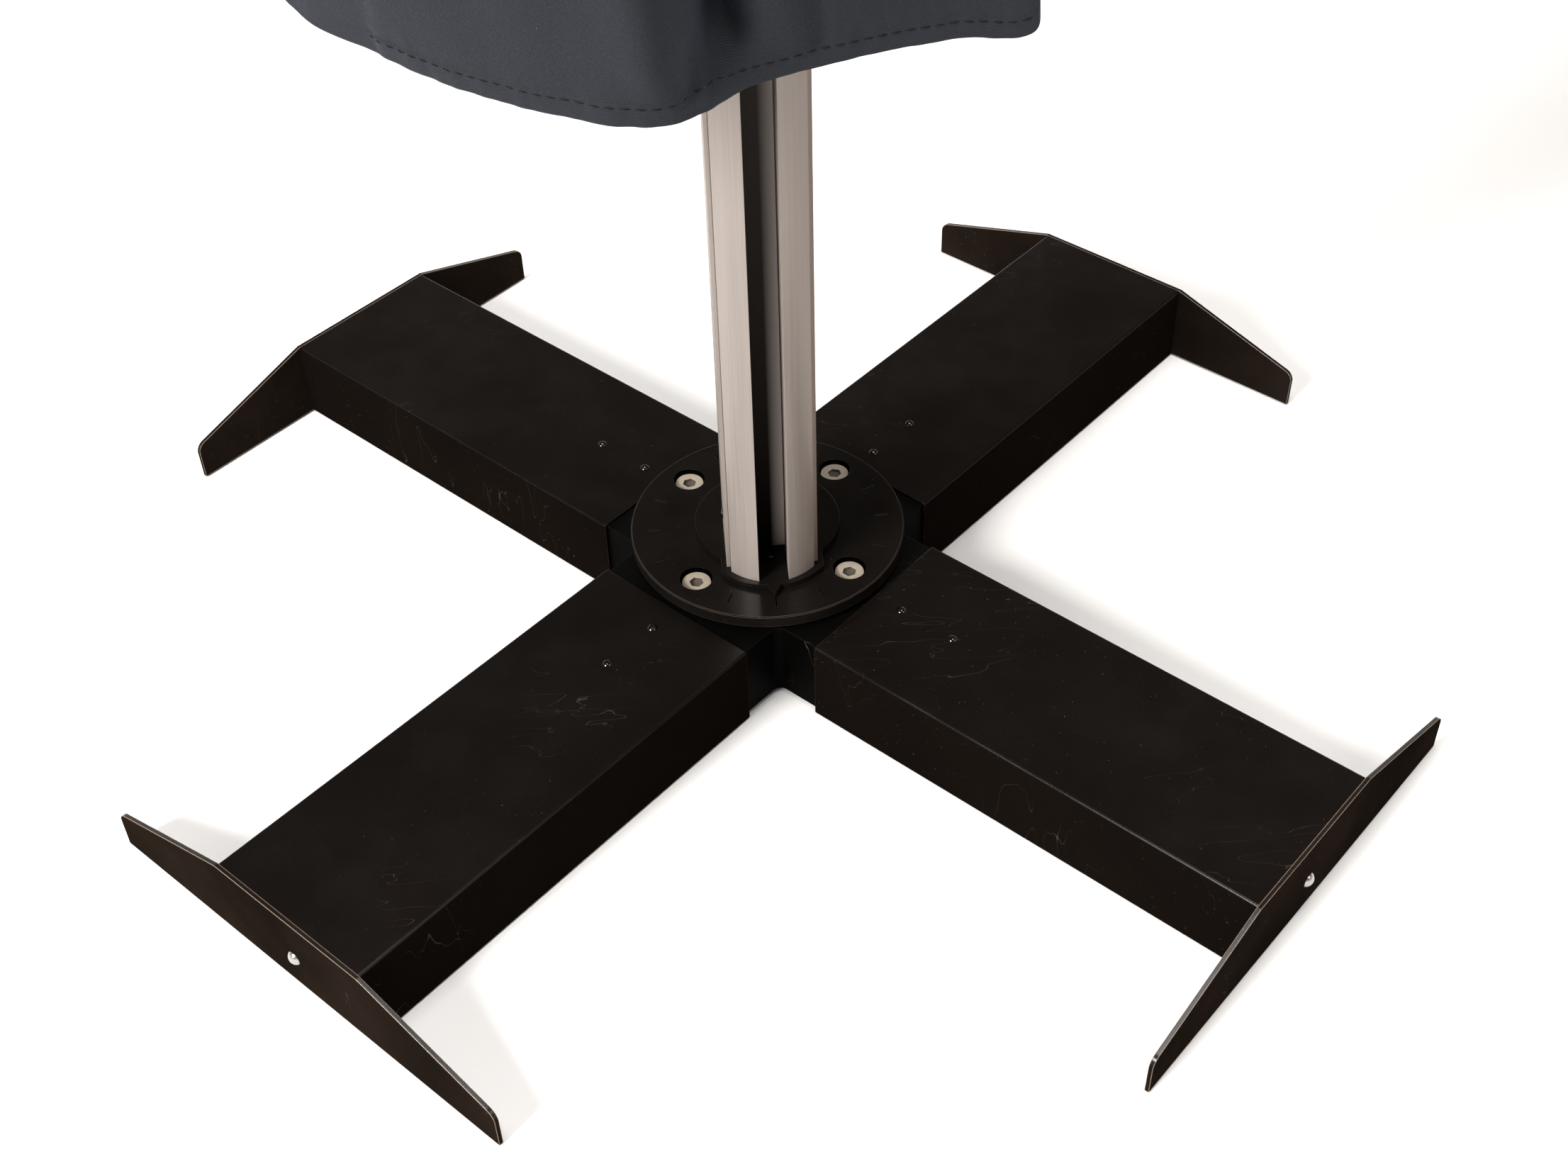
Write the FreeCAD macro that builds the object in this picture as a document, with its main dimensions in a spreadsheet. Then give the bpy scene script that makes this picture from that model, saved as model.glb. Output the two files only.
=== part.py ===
import FreeCAD, Part
import math
import os
import Sketcher

# A four way clothing rack: a cross base with winged end plates, a graduated dial,
# a slotted mast that turns on it, a rising post and four hang arms.
# The frame has its origin on the floor under the turning axis, +Z up, front towards -Y.

SIZES = {
    # base legs, in the leg's own direction from the turning axis
    "leg_width": 180.0,
    "leg_top": 88.0,
    "leg_inner_end": 134.0,
    "leg_outer_end": 600.0,
    "leg_sheet": 2.5,
    "leg_floor_gap": 2.0,
    "leg_corner_radius": 3.0,
    "frame_reach": 300.0,
    "frame_side_gap": 0.2,
    "frame_sheet": 3.0,
    "frame_floor_gap": 6.0,
    "frame_corner_radius": 9.0,
    "pad_radius": 22.0,
    "inner_pad_place": 255.0,
    "outer_pad_inset": 40.0,
    "cover_screw_first": 165.0,
    "cover_screw_second": 225.0,
    "cover_screw_radius": 2.5,
    "cover_screw_head_radius": 4.75,
    "cover_screw_head_rise": 2.6,
    "cover_screw_length": 9.0,
    "cover_screw_socket_width": 3.0,
    "cover_screw_socket_floor": 1.04,
    # winged end plates
    "end_plate_sheet": 4.0,
    "end_plate_half_length": 240.0,
    "end_plate_tip_height": 42.0,
    "end_plate_tip_radius": 12.0,
    "end_bracket_sheet": 3.0,
    "end_bracket_foot": 62.0,
    "end_bolt_height": 38.0,
    "end_bolt_radius": 4.0,
    "end_bolt_head_radius": 7.0,
    "end_bolt_head_rise": 4.4,
    "end_nut_width": 13.0,
    "end_nut_height": 6.5,
    "bolt_end_length": 2.0,
    # hub, bearing and dial
    "hub_plate_inset": 8.5,
    "dial_lift": 4.5,
    "dial_height": 13.0,
    "dial_radius": 132.5,
    "dial_edge": 1.0,
    "dial_bore_radius": 27.0,
    "dial_bolt_inset": 30.0,
    "dial_bolt_radius": 7.0,
    "dial_bolt_head_radius": 13.6,
    "dial_bolt_head_height": 4.5,
    "dial_bolt_socket_width": 12.0,
    "dial_bolt_socket_floor": 1.0,
    "dial_bolt_reach": 18.0,
    "dial_pocket_radius": 15.6,
    "dial_pocket_depth": 9.0,
    "tick_inset": 27.5,
    "tick_length": 12.5,
    "tick_width": 1.2,
    "tick_depth": 0.8,
    "slide_washer_radius": 62.0,
    "slide_washer_height": 2.5,
    "slide_washer_proud": 0.5,
    "slide_washer_rim_gap": 0.5,
    "slide_washer_bore_gap": 1.0,
    "bearing_outer_radius": 42.0,
    "bearing_inner_radius": 33.0,
    "bearing_bottom": 34.0,
    "bearing_flange_radius": 52.0,
    "bearing_flange_height": 4.0,
    "spindle_radius": 26.0,
    "spindle_gap": 0.05,
    "bush_length": 22.0,
    "bush_flange_height": 3.0,
    "bush_flange_inset": 2.0,
    "retainer_height": 3.0,
    "retainer_gap": 0.3,
    "retainer_inset": 4.0,
    "spindle_stud_radius": 12.0,
    "spindle_nut_width": 36.0,
    "spindle_nut_height": 14.0,
    # turning collar
    "collar_height": 5.5,
    "collar_radius": 70.0,
    "collar_lip": 5.0,
    "pointer_reach": 106.0,
    "pointer_half_width": 7.0,
    "pointer_root": 1.0,
    "drain_radius": 4.0,
    "drain_place": 53.0,
    # mast
    "mast_room": 18.0,
    "mast_front": 89.0,
    "mast_wall": 3.0,
    "cell_tip_wall": 4.5,
    "cell_heel_wall": 1.2,
    "cell_back_wall": 1.0,
    "mast_top": 980.0,
    "slot_half_width": 14.0,
    "slot_depth": 49.0,
    "cheek_inset": 4.0,
    "cheek_shoulder": 73.0,
    "cheek_radius": 62.0,
    "seam_front": 66.0,
    "seam_gap": 0.2,
    "plug_height": 50.0,
    "plug_gap": 0.2,
    "foot_bolt_radius": 8.0,
    "foot_bolt_head_radius": 12.0,
    "foot_bolt_head_height": 16.0,
    "foot_bolt_reach": 30.0,
    "foot_bolt_socket_width": 14.0,
    "foot_bolt_socket_depth": 8.0,
    "foot_bolt_sink_gap": 1.0,
    "foot_bolt_sink_depth": 18.0,
    "foot_screw_radius": 3.0,
    "foot_screw_head_radius": 5.5,
    "foot_screw_head_rise": 2.6,
    "foot_screw_setback": 20.0,
    "foot_screw_height": 28.0,
    "foot_screw_reach": 12.0,
    # mast head and post clamp
    "head_lip": 5.0,
    "head_edge": 2.0,
    "head_sleeve_gap": 0.1,
    "head_skirt": 40.0,
    "head_crown": 20.0,
    "guide_wall": 3.0,
    "guide_depth": 8.0,
    "guide_flange_wall": 8.0,
    "guide_flange_height": 4.0,
    "slide_gap": 0.3,
    "clamp_depth": 25.0,
    "clamp_boss_radius": 13.0,
    "clamp_boss_length": 15.0,
    "clamp_screw_radius": 5.0,
    "clamp_screw_gap": 0.06,
    "clamp_screw_end": 1.0,
    "clamp_hole_gap": 1.0,
    "shoe_floor": 2.0,
    "screw_tip_gap": 3.5,
    "shoe_half_width": 8.0,
    "shoe_length": 11.5,
    "shoe_gap": 0.06,
    "knob_radius": 25.0,
    "knob_length": 24.0,
    "knob_gap": 0.6,
    "knob_notch_radius": 7.0,
    "knob_notch_offset": 3.15,
    "knob_socket_depth": 16.0,
    "knob_edge_radius": 2.0,
    # rising post
    "post_half_width": 25.0,
    "post_wall": 2.5,
    "post_corner_radius": 2.0,
    "post_bottom": 480.0,
    "post_top": 1360.0,
    "lower_guide_height": 40.0,
    "stop_collar_wall": 8.0,
    "stop_collar_height": 20.0,
    "stop_collar_corner_radius": 4.0,
    # four way hub and arms
    "hub_wall": 21.0,
    "hub_skirt": 64.0,
    "hub_crown": 12.0,
    "hub_gap": 0.2,
    "hub_cap_height": 14.0,
    "hub_corner_radius": 5.0,
    "hub_cap_edge_radius": 8.0,
    "arm_drop": 26.0,
    "arm_flange_sheet": 5.0,
    "arm_flange_width": 46.0,
    "arm_flange_height": 70.0,
    "arm_rail_width": 15.0,
    "arm_rail_height": 30.0,
    "arm_rail_wall": 1.5,
    "arm_rail_corner_radius": 3.0,
    "arm_reach": 430.0,
    "arm_bolt_offset": 25.0,
    "arm_bolt_radius": 4.0,
    "arm_bolt_head_radius": 7.0,
    "arm_bolt_head_rise": 4.4,
    "arm_bolt_reach": 9.0,
    "arm_stop_length": 10.0,
    "arm_stop_width": 23.0,
    "arm_stop_height": 44.0,
    "arm_stop_plug": 20.0,
    "arm_stop_drop": 3.0,
    "arm_stop_corner_radius": 8.0,
    "arm_stop_edge_radius": 2.5,
    # cloth dust sheet over the two front arms
    "sheet_thickness": 3.0,
    "sheet_lift": 6.0,
    "sheet_drop": 618.0,
    "sheet_clearance": 19.0,
    "sheet_side_offset": 26.0,
    "sheet_rear": 88.0,
    "sheet_rear_lap": 10.0,
}

DIAL_BOLTS = 4
TICKS = 16
KNOB_NOTCHES = 6
LEGS = {"front_right": -45.0, "back_right": 45.0, "back_left": 135.0, "front_left": -135.0}

doc = FreeCAD.newDocument("four_way_rack")
table = doc.addObject("Spreadsheet::Sheet", "size")
for row, (alias, number) in enumerate(SIZES.items(), start=1):
    table.set(f"A{row}", alias)
    table.set(f"B{row}", repr(number))
    table.setAlias(f"B{row}", alias)
doc.recompute()


class Dim:
    """A size that carries both its number and the sheet expression that it comes from."""

    def __init__(self, number, text):
        self.number = number
        self.text = text

    def __add__(self, other):
        other = dim(other)
        return Dim(self.number + other.number, f"({self.text} + {other.text})")

    def __sub__(self, other):
        other = dim(other)
        return Dim(self.number - other.number, f"({self.text} - {other.text})")

    def __mul__(self, other):
        other = dim(other)
        return Dim(self.number * other.number, f"({self.text} * {other.text})")

    def __truediv__(self, other):
        other = dim(other)
        return Dim(self.number / other.number, f"({self.text} / {other.text})")

    def __neg__(self):
        return dim(0) - self

    __radd__ = __add__
    __rmul__ = __mul__


def dim(value):
    """Lets plain numbers join in the same arithmetic as the sheet's sizes."""
    return value if isinstance(value, Dim) else Dim(float(value), repr(float(value)))


class Sheet:
    """The spreadsheet's aliases as attributes, such as s.leg_width."""

    def __getattr__(self, alias):
        return Dim(float(table.get(alias)), f"size.{alias}")


s = Sheet()
nodes = []


def keep(item, label, angle=0.0):
    """Marks a finished sub-part for export, turned about the upright axis."""
    item.Label = label
    item.Placement = FreeCAD.Placement(
        FreeCAD.Vector(0, 0, 0), FreeCAD.Rotation(FreeCAD.Vector(0, 0, 1), angle)
    )
    nodes.append(item)
    return item


# ---------------------------------------------------------------- PartDesign helpers


def new_body(label, angle=0.0):
    return keep(doc.addObject("PartDesign::Body", label), label, angle)


def new_sketch(body, role, level=0.0):
    """Sketch on one of the body's own origin planes, lifted along its normal."""
    sketch = body.newObject("Sketcher::SketchObject", body.Name + "_sketch")
    plane = [item for item in body.Origin.OriginFeatures if item.Role == role][0]
    sketch.AttachmentSupport = [(plane, "")]
    sketch.MapMode = "FlatFace"
    sketch.setExpression("AttachmentOffset.Base.z", dim(level).text)
    return sketch


def hold(sketch, kind, where, value):
    """Adds one driving constraint and ties it to the sheet."""
    number = dim(value).number
    index = sketch.addConstraint(Sketcher.Constraint(kind, *where, number))
    sketch.setExpression(f"Constraints[{index}]", dim(value).text)


def arc_between(start, end, radius):
    """Arc that bulges outward on an anticlockwise outline."""
    chord = end - start
    half = chord.Length / 2.0
    inward = FreeCAD.Vector(-chord.y, chord.x, 0).normalize()
    rise = math.sqrt(max(radius * radius - half * half, 0.0))
    centre = (start + end) * 0.5 + inward * rise
    first = math.atan2(start.y - centre.y, start.x - centre.x)
    last = math.atan2(end.y - centre.y, end.x - centre.x)
    circle = Part.Circle(centre, FreeCAD.Vector(0, 0, 1), radius)
    return Part.ArcOfCircle(circle, first, last)


HALF_TURN = "half turn"


def outline(sketch, corners):
    """Closed anticlockwise outline. A corner with a third value starts an arc: its radius,
    or HALF_TURN for a half circle that ends level with where it starts."""
    first = sketch.GeometryCount
    places = [FreeCAD.Vector(dim(c[0]).number, dim(c[1]).number, 0) for c in corners]
    count = len(corners)
    for i, corner in enumerate(corners):
        after = places[(i + 1) % count]
        if len(corner) == 3:
            half_turn = corner[2] == HALF_TURN
            radius = (after - places[i]).Length / 2.0 if half_turn else dim(corner[2]).number
            sketch.addGeometry(arc_between(places[i], after, radius))
        else:
            sketch.addGeometry(Part.LineSegment(places[i], after))
    for i in range(count):
        after = first + (i + 1) % count
        sketch.addConstraint(Sketcher.Constraint("Coincident", first + i, 2, after, 1))
    for i, corner in enumerate(corners):
        hold(sketch, "DistanceX", (-1, 1, first + i, 1), corner[0])
        hold(sketch, "DistanceY", (-1, 1, first + i, 1), corner[1])
        if len(corner) < 3:
            continue
        if corner[2] == HALF_TURN:
            hold(sketch, "DistanceY", (-1, 1, first + i, 3), corner[1])
        else:
            hold(sketch, "Radius", (first + i,), corner[2])


def rectangle(sketch, low_x, low_y, high_x, high_y):
    outline(sketch, [(low_x, low_y), (high_x, low_y), (high_x, high_y), (low_x, high_y)])


def mirrored(right_side):
    """Corners of a left-right symmetric outline from its right half, bottom to top."""
    left = []
    for i in range(len(right_side) - 1, -1, -1):
        corner = right_side[i]
        before = right_side[i - 1] if i > 0 else ()
        place = (-dim(corner[0]), corner[1])
        left.append(place + (before[2],) if len(before) == 3 else place)
    return list(right_side) + left


def ring(sketch, x, y, radius):
    index = sketch.addGeometry(
        Part.Circle(
            FreeCAD.Vector(dim(x).number, dim(y).number, 0),
            FreeCAD.Vector(0, 0, 1),
            dim(radius).number,
        )
    )
    hold(sketch, "DistanceX", (-1, 1, index, 3), x)
    hold(sketch, "DistanceY", (-1, 1, index, 3), y)
    hold(sketch, "Radius", (index,), radius)


def hexagon(sketch, x, y, width):
    """Hexagon with two flats parallel to the sketch's X axis, by its width across flats."""
    side = width / math.sqrt(3.0)
    half = width / 2.0
    outline(
        sketch,
        [
            (x + side, y),
            (x + side / 2.0, y + half),
            (x - side / 2.0, y + half),
            (x - side, y),
            (x - side / 2.0, y - half),
            (x + side / 2.0, y - half),
        ],
    )


def pad(body, sketch, length, backwards=False):
    feature = body.newObject("PartDesign::Pad", body.Name + "_pad")
    feature.Profile = sketch
    feature.setExpression("Length", dim(length).text)
    feature.Reversed = backwards
    doc.recompute()
    return feature


def pocket(body, sketch, length, upwards=False):
    """Cuts against the sketch's normal, or along it with upwards set, and proves that it cut."""
    before = body.Shape.Volume
    feature = body.newObject("PartDesign::Pocket", body.Name + "_pocket")
    feature.Profile = sketch
    feature.setExpression("Length", dim(length).text)
    feature.Reversed = upwards
    doc.recompute()
    if body.Shape.Volume >= before:
        raise RuntimeError(f"{body.Label}: {feature.Name} cut nothing")
    return feature


def repeat_around(body, features, count):
    """Polar pattern of the features about the body's upright axis."""
    pattern = body.newObject("PartDesign::PolarPattern", body.Name + "_pattern")
    pattern.Originals = features
    axis = [item for item in body.Origin.OriginFeatures if item.Role == "Z_Axis"][0]
    pattern.Axis = (axis, [""])
    pattern.Angle = 360
    pattern.Occurrences = count
    body.Tip = pattern
    doc.recompute()
    return pattern


def round_edges(body, radius, chosen, kind="Fillet"):
    """Rounds or chamfers the edges that chosen(edge) picks on the body's present shape."""
    base = body.Tip
    names = [f"Edge{i}" for i, edge in enumerate(base.Shape.Edges, start=1) if chosen(edge)]
    feature = body.newObject("PartDesign::" + kind, body.Name + "_edge")
    feature.Base = (base, names)
    feature.setExpression("Radius" if kind == "Fillet" else "Size", dim(radius).text)
    doc.recompute()
    return feature


def upright(edge):
    """True for a straight edge parallel to Z in the body's own frame."""
    if edge.Curve.TypeId != "Part::GeomLine":
        return False
    return abs(abs(edge.Curve.Direction.z) - 1.0) < 1e-6


# ---------------------------------------------------------------- Part primitive helpers


def bind(item, prop, value):
    item.setExpression(prop, dim(value).text)


def place(item, x, y, z):
    for axis, value in zip("xyz", (x, y, z)):
        bind(item, f"Placement.Base.{axis}", value)


def cylinder(name, radius, height, x=0.0, y=0.0, z=0.0, along=None):
    """Cylinder that grows from (x, y, z) along Z, or along the given direction."""
    item = doc.addObject("Part::Cylinder", name)
    bind(item, "Radius", radius)
    bind(item, "Height", height)
    if along is not None:
        turn = FreeCAD.Rotation(FreeCAD.Vector(0, 0, 1), FreeCAD.Vector(*along))
        item.Placement = FreeCAD.Placement(FreeCAD.Vector(0, 0, 0), turn)
    place(item, x, y, z)
    return item


def hex_bar(name, width, height, x, y, z, along=None):
    """Six-sided bar, by its width across flats."""
    item = doc.addObject("Part::Prism", name)
    item.Polygon = 6
    bind(item, "Circumradius", width / math.sqrt(3.0))
    bind(item, "Height", height)
    if along is not None:
        turn = FreeCAD.Rotation(FreeCAD.Vector(0, 0, 1), FreeCAD.Vector(*along))
        item.Placement = FreeCAD.Placement(FreeCAD.Vector(0, 0, 0), turn)
    place(item, x, y, z)
    return item


def dome(name, radius, rise, x, y, z, along=None):
    """Button head: the part of a ball that stands above its flat seat."""
    ball = (radius * radius + rise * rise) / (rise * 2.0)
    item = doc.addObject("Part::Sphere", name)
    bind(item, "Radius", ball)
    low_angle = (ball - rise).text
    item.setExpression("Angle1", f"asin({low_angle} / {ball.text})")
    item.Angle2 = 90
    way = FreeCAD.Vector(*(along or (0, 0, 1)))
    turn = FreeCAD.Rotation(FreeCAD.Vector(0, 0, 1), way)
    item.Placement = FreeCAD.Placement(FreeCAD.Vector(0, 0, 0), turn)
    sink = ball - rise
    place(item, x - sink * way.x, y - sink * way.y, z - sink * way.z)
    return item


def fuse(name, items):
    item = doc.addObject("Part::MultiFuse", name)
    item.Shapes = items
    return item


def cut(name, base, tool):
    item = doc.addObject("Part::Cut", name)
    item.Base = base
    item.Tool = tool
    return item


def group(label, items):
    """Identical fasteners as one node of separate solids."""
    item = doc.addObject("Part::Compound", label)
    item.Links = items
    return keep(item, label)


def turned_copy(item, name, angle):
    """The same fastener at another angle around the upright axis."""
    copy = doc.addObject("Part::Compound", name)
    copy.Links = [item]
    copy.Placement = FreeCAD.Placement(
        FreeCAD.Vector(0, 0, 0), FreeCAD.Rotation(FreeCAD.Vector(0, 0, 1), angle)
    )
    return copy


# ---------------------------------------------------------------- shared levels

leg_half = s.leg_width / 2.0
cover_inside_half = leg_half - s.leg_sheet
cover_inside_top = s.leg_top - s.leg_sheet
frame_half = cover_inside_half - s.frame_side_gap
frame_top = cover_inside_top
outer_pad_place = s.leg_outer_end - s.outer_pad_inset
dial_bottom = s.leg_top + s.dial_lift
dial_top = dial_bottom + s.dial_height
hub_plate_radius = s.dial_radius - s.hub_plate_inset
bolt_circle = s.dial_radius - s.dial_bolt_inset
tick_inner = s.dial_radius - s.tick_inset
collar_bottom = dial_top + s.slide_washer_proud
collar_top = collar_bottom + s.collar_height
slot_back = s.mast_front - s.slot_depth
rear_front_face = slot_back - s.mast_wall
chamber_front = rear_front_face - s.mast_wall
mast_half = s.post_half_width + s.mast_room
cheek_half = mast_half - s.cheek_inset
chamber_radius = mast_half - s.mast_wall
head_bottom = s.mast_top - s.head_skirt
head_top = s.mast_top + s.head_crown
guide_half = s.post_half_width + s.guide_wall
guide_bottom = s.mast_top - s.guide_depth
guide_flange_half = s.post_half_width + s.guide_flange_wall
clamp_height = s.mast_top - s.clamp_depth
boss_reach = mast_half + s.clamp_boss_length
plug_top = collar_top + s.plug_height
dial_pocket_floor = dial_top - s.dial_pocket_depth
spindle_end = s.bearing_bottom - s.bush_flange_height - s.retainer_gap
stop_collar_half = s.post_half_width + s.stop_collar_wall
hub_half = s.post_half_width + s.hub_wall
hub_bottom = s.post_top - s.hub_skirt
hub_top = s.post_top + s.hub_crown
arm_height = s.post_top - s.arm_drop
sheet_top = s.post_top + s.sheet_lift
sheet_hem = sheet_top - s.sheet_drop
sheet_front = (s.arm_reach + s.arm_stop_length) * math.sqrt(0.5) + s.sheet_clearance


# ---------------------------------------------------------------- base frame


def make_centre_frame():
    """Closed cross-shaped box that reaches inside the four leg covers."""
    body = new_body("centre_frame", 45.0)
    reach = s.frame_reach
    half = frame_half

    def cross(sketch, end, side):
        corners = [
            (side, -end), (side, -side), (end, -side), (end, side),
            (side, side), (side, end), (-side, end), (-side, side),
            (-end, side), (-end, -side), (-side, -side), (-side, -end),
        ]
        outline(sketch, corners)

    height = frame_top - s.frame_floor_gap
    outer = new_sketch(body, "XY_Plane", s.frame_floor_gap)
    cross(outer, reach, half)
    pad(body, outer, height)
    inside_corner = frame_half.number * math.sqrt(2.0)

    def inner_corner(edge):
        if not upright(edge):
            return False
        return abs(math.hypot(edge.CenterOfMass.x, edge.CenterOfMass.y) - inside_corner) < 0.5

    round_edges(body, s.frame_corner_radius, inner_corner)
    hollow = new_sketch(body, "XY_Plane", s.frame_floor_gap)
    cross(hollow, reach - s.frame_sheet, half - s.frame_sheet)
    pocket(body, hollow, height - s.frame_sheet, upwards=True)
    floor = new_sketch(body, "XY_Plane", s.frame_floor_gap)
    cross(floor, reach - s.frame_sheet, half - s.frame_sheet)
    ring(floor, 0, 0, s.bearing_outer_radius)
    pad(body, floor, s.frame_sheet)
    holes = new_sketch(body, "XY_Plane", frame_top)
    ring(holes, 0, 0, s.bearing_outer_radius)
    for along in (s.cover_screw_first, s.cover_screw_second):
        for x, y in ((along, 0), (-along, 0), (0, along), (0, -along)):
            ring(holes, x, y, s.cover_screw_radius)
    for x, y in ((1, 0), (-1, 0), (0, 1), (0, -1)):
        ring(holes, x * bolt_circle, y * bolt_circle, s.dial_bolt_radius)
    pocket(body, holes, s.frame_sheet)


def make_leg(name, angle):
    """Folded cover, winged end plate, inner bracket and two floor pads of one leg."""
    cover = new_body("leg_cover_" + name, angle)
    section = new_sketch(cover, "YZ_Plane", s.leg_inner_end)
    corners = [
        (-leg_half, s.leg_floor_gap),
        (-cover_inside_half, s.leg_floor_gap),
        (-cover_inside_half, cover_inside_top),
        (cover_inside_half, cover_inside_top),
        (cover_inside_half, s.leg_floor_gap),
        (leg_half, s.leg_floor_gap),
        (leg_half, s.leg_top),
        (-leg_half, s.leg_top),
    ]
    outline(section, corners)
    pad(cover, section, s.leg_outer_end - s.leg_inner_end)
    top_number = s.leg_top.number

    def bend(edge):
        middle = edge.CenterOfMass
        return abs(middle.z - top_number) < 1e-6 and abs(abs(middle.y) - leg_half.number) < 1e-6

    round_edges(cover, s.leg_corner_radius, bend)
    holes = new_sketch(cover, "XY_Plane", s.leg_top)
    for along in (s.cover_screw_first, s.cover_screw_second):
        ring(holes, along, 0, s.cover_screw_radius)
    pocket(cover, holes, s.leg_sheet)

    plate = new_body("end_plate_" + name, angle)
    face = new_sketch(plate, "YZ_Plane", s.leg_outer_end)
    right = [
        (s.end_plate_half_length, s.leg_floor_gap),
        (s.end_plate_half_length, s.end_plate_tip_height),
        (leg_half, s.leg_top),
    ]
    outline(face, mirrored(right))
    pad(plate, face, s.end_plate_sheet)
    tip_z = s.end_plate_tip_height.number
    tip_y = s.end_plate_half_length.number

    def wing_tip(edge):
        middle = edge.CenterOfMass
        return abs(abs(middle.y) - tip_y) < 0.5 and abs(middle.z - tip_z) < 0.5

    round_edges(plate, s.end_plate_tip_radius, wing_tip)
    bolt_hole = new_sketch(plate, "YZ_Plane", s.leg_outer_end + s.end_plate_sheet)
    ring(bolt_hole, 0, s.end_bolt_height, s.end_bolt_radius)
    pocket(plate, bolt_hole, s.end_plate_sheet)

    bracket = new_body("end_bracket_" + name, angle)
    side = new_sketch(bracket, "XZ_Plane", -cover_inside_half + s.leg_corner_radius)
    outer = s.leg_outer_end
    inner = outer - s.end_bracket_sheet
    low = s.frame_floor_gap
    ell = [
        (outer, low),
        (outer, cover_inside_top),
        (inner, cover_inside_top),
        (inner, low + s.end_bracket_sheet),
        (outer - s.end_bracket_foot, low + s.end_bracket_sheet),
        (outer - s.end_bracket_foot, low),
    ]
    outline(side, ell)
    pad(bracket, side, (cover_inside_half - s.leg_corner_radius) * 2.0)
    bracket_hole = new_sketch(bracket, "YZ_Plane", s.leg_outer_end)
    ring(bracket_hole, 0, s.end_bolt_height, s.end_bolt_radius)
    pocket(bracket, bracket_hole, s.end_bracket_sheet)

    for kind, along in (("inner", s.inner_pad_place), ("outer", outer_pad_place)):
        disc = new_body(f"{kind}_pad_{name}", angle)
        foot = new_sketch(disc, "XY_Plane")
        ring(foot, along, 0, s.pad_radius)
        pad(disc, foot, s.frame_floor_gap)


def make_base_fasteners():
    """Cover screws, end plate bolts and nuts, one of each kind per leg."""
    screws = []
    bolts = []
    nuts = []
    for name, angle in LEGS.items():
        for number, along in enumerate((s.cover_screw_first, s.cover_screw_second)):
            tag = f"cover_screw_{name}_{number}"
            stem = cylinder(
                tag + "_stem", s.cover_screw_radius, s.cover_screw_length,
                along, 0, s.leg_top - s.cover_screw_length,
            )
            head = dome(
                tag + "_head", s.cover_screw_head_radius, s.cover_screw_head_rise,
                along, dim(0), s.leg_top,
            )
            socket = hex_bar(
                tag + "_socket", s.cover_screw_socket_width, s.cover_screw_head_rise,
                along, 0, s.leg_top + s.cover_screw_socket_floor,
            )
            screw = cut(tag, fuse(tag + "_solid", [stem, head]), socket)
            screws.append(turned_copy(screw, tag + "_placed", angle))
        outer = s.leg_outer_end + s.end_plate_sheet
        grip = s.end_plate_sheet + s.end_bracket_sheet
        tag = f"end_bolt_{name}"
        stem = cylinder(
            tag + "_stem", s.end_bolt_radius, grip + s.end_nut_height + s.bolt_end_length,
            outer, 0, s.end_bolt_height, along=(-1, 0, 0),
        )
        head = dome(
            tag + "_head", s.end_bolt_head_radius, s.end_bolt_head_rise,
            outer, dim(0), s.end_bolt_height, along=(1, 0, 0),
        )
        bolts.append(turned_copy(fuse(tag, [stem, head]), tag + "_placed", angle))
        tag = f"end_nut_{name}"
        body = hex_bar(
            tag + "_body", s.end_nut_width, s.end_nut_height,
            outer - grip - s.end_nut_height, 0, s.end_bolt_height, along=(1, 0, 0),
        )
        hole = cylinder(
            tag + "_hole", s.end_bolt_radius, s.end_nut_height,
            outer - grip - s.end_nut_height, 0, s.end_bolt_height, along=(1, 0, 0),
        )
        nuts.append(turned_copy(cut(tag, body, hole), tag + "_placed", angle))
    group("leg_cover_screws", screws)
    group("end_plate_bolts", bolts)
    group("end_plate_nuts", nuts)


# ---------------------------------------------------------------- bearing and dial


def make_hub_plate():
    body = new_body("hub_plate", 45.0)
    disc = new_sketch(body, "XY_Plane", frame_top)
    ring(disc, 0, 0, hub_plate_radius)
    ring(disc, 0, 0, s.bearing_outer_radius)
    for x, y in ((1, 0), (-1, 0), (0, 1), (0, -1)):
        ring(disc, x * bolt_circle, y * bolt_circle, s.dial_bolt_radius)
    pad(body, disc, dial_bottom - frame_top)
    seat = new_sketch(body, "XY_Plane", dial_bottom)
    ring(seat, 0, 0, s.bearing_flange_radius)
    pocket(body, seat, s.bearing_flange_height)


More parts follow.
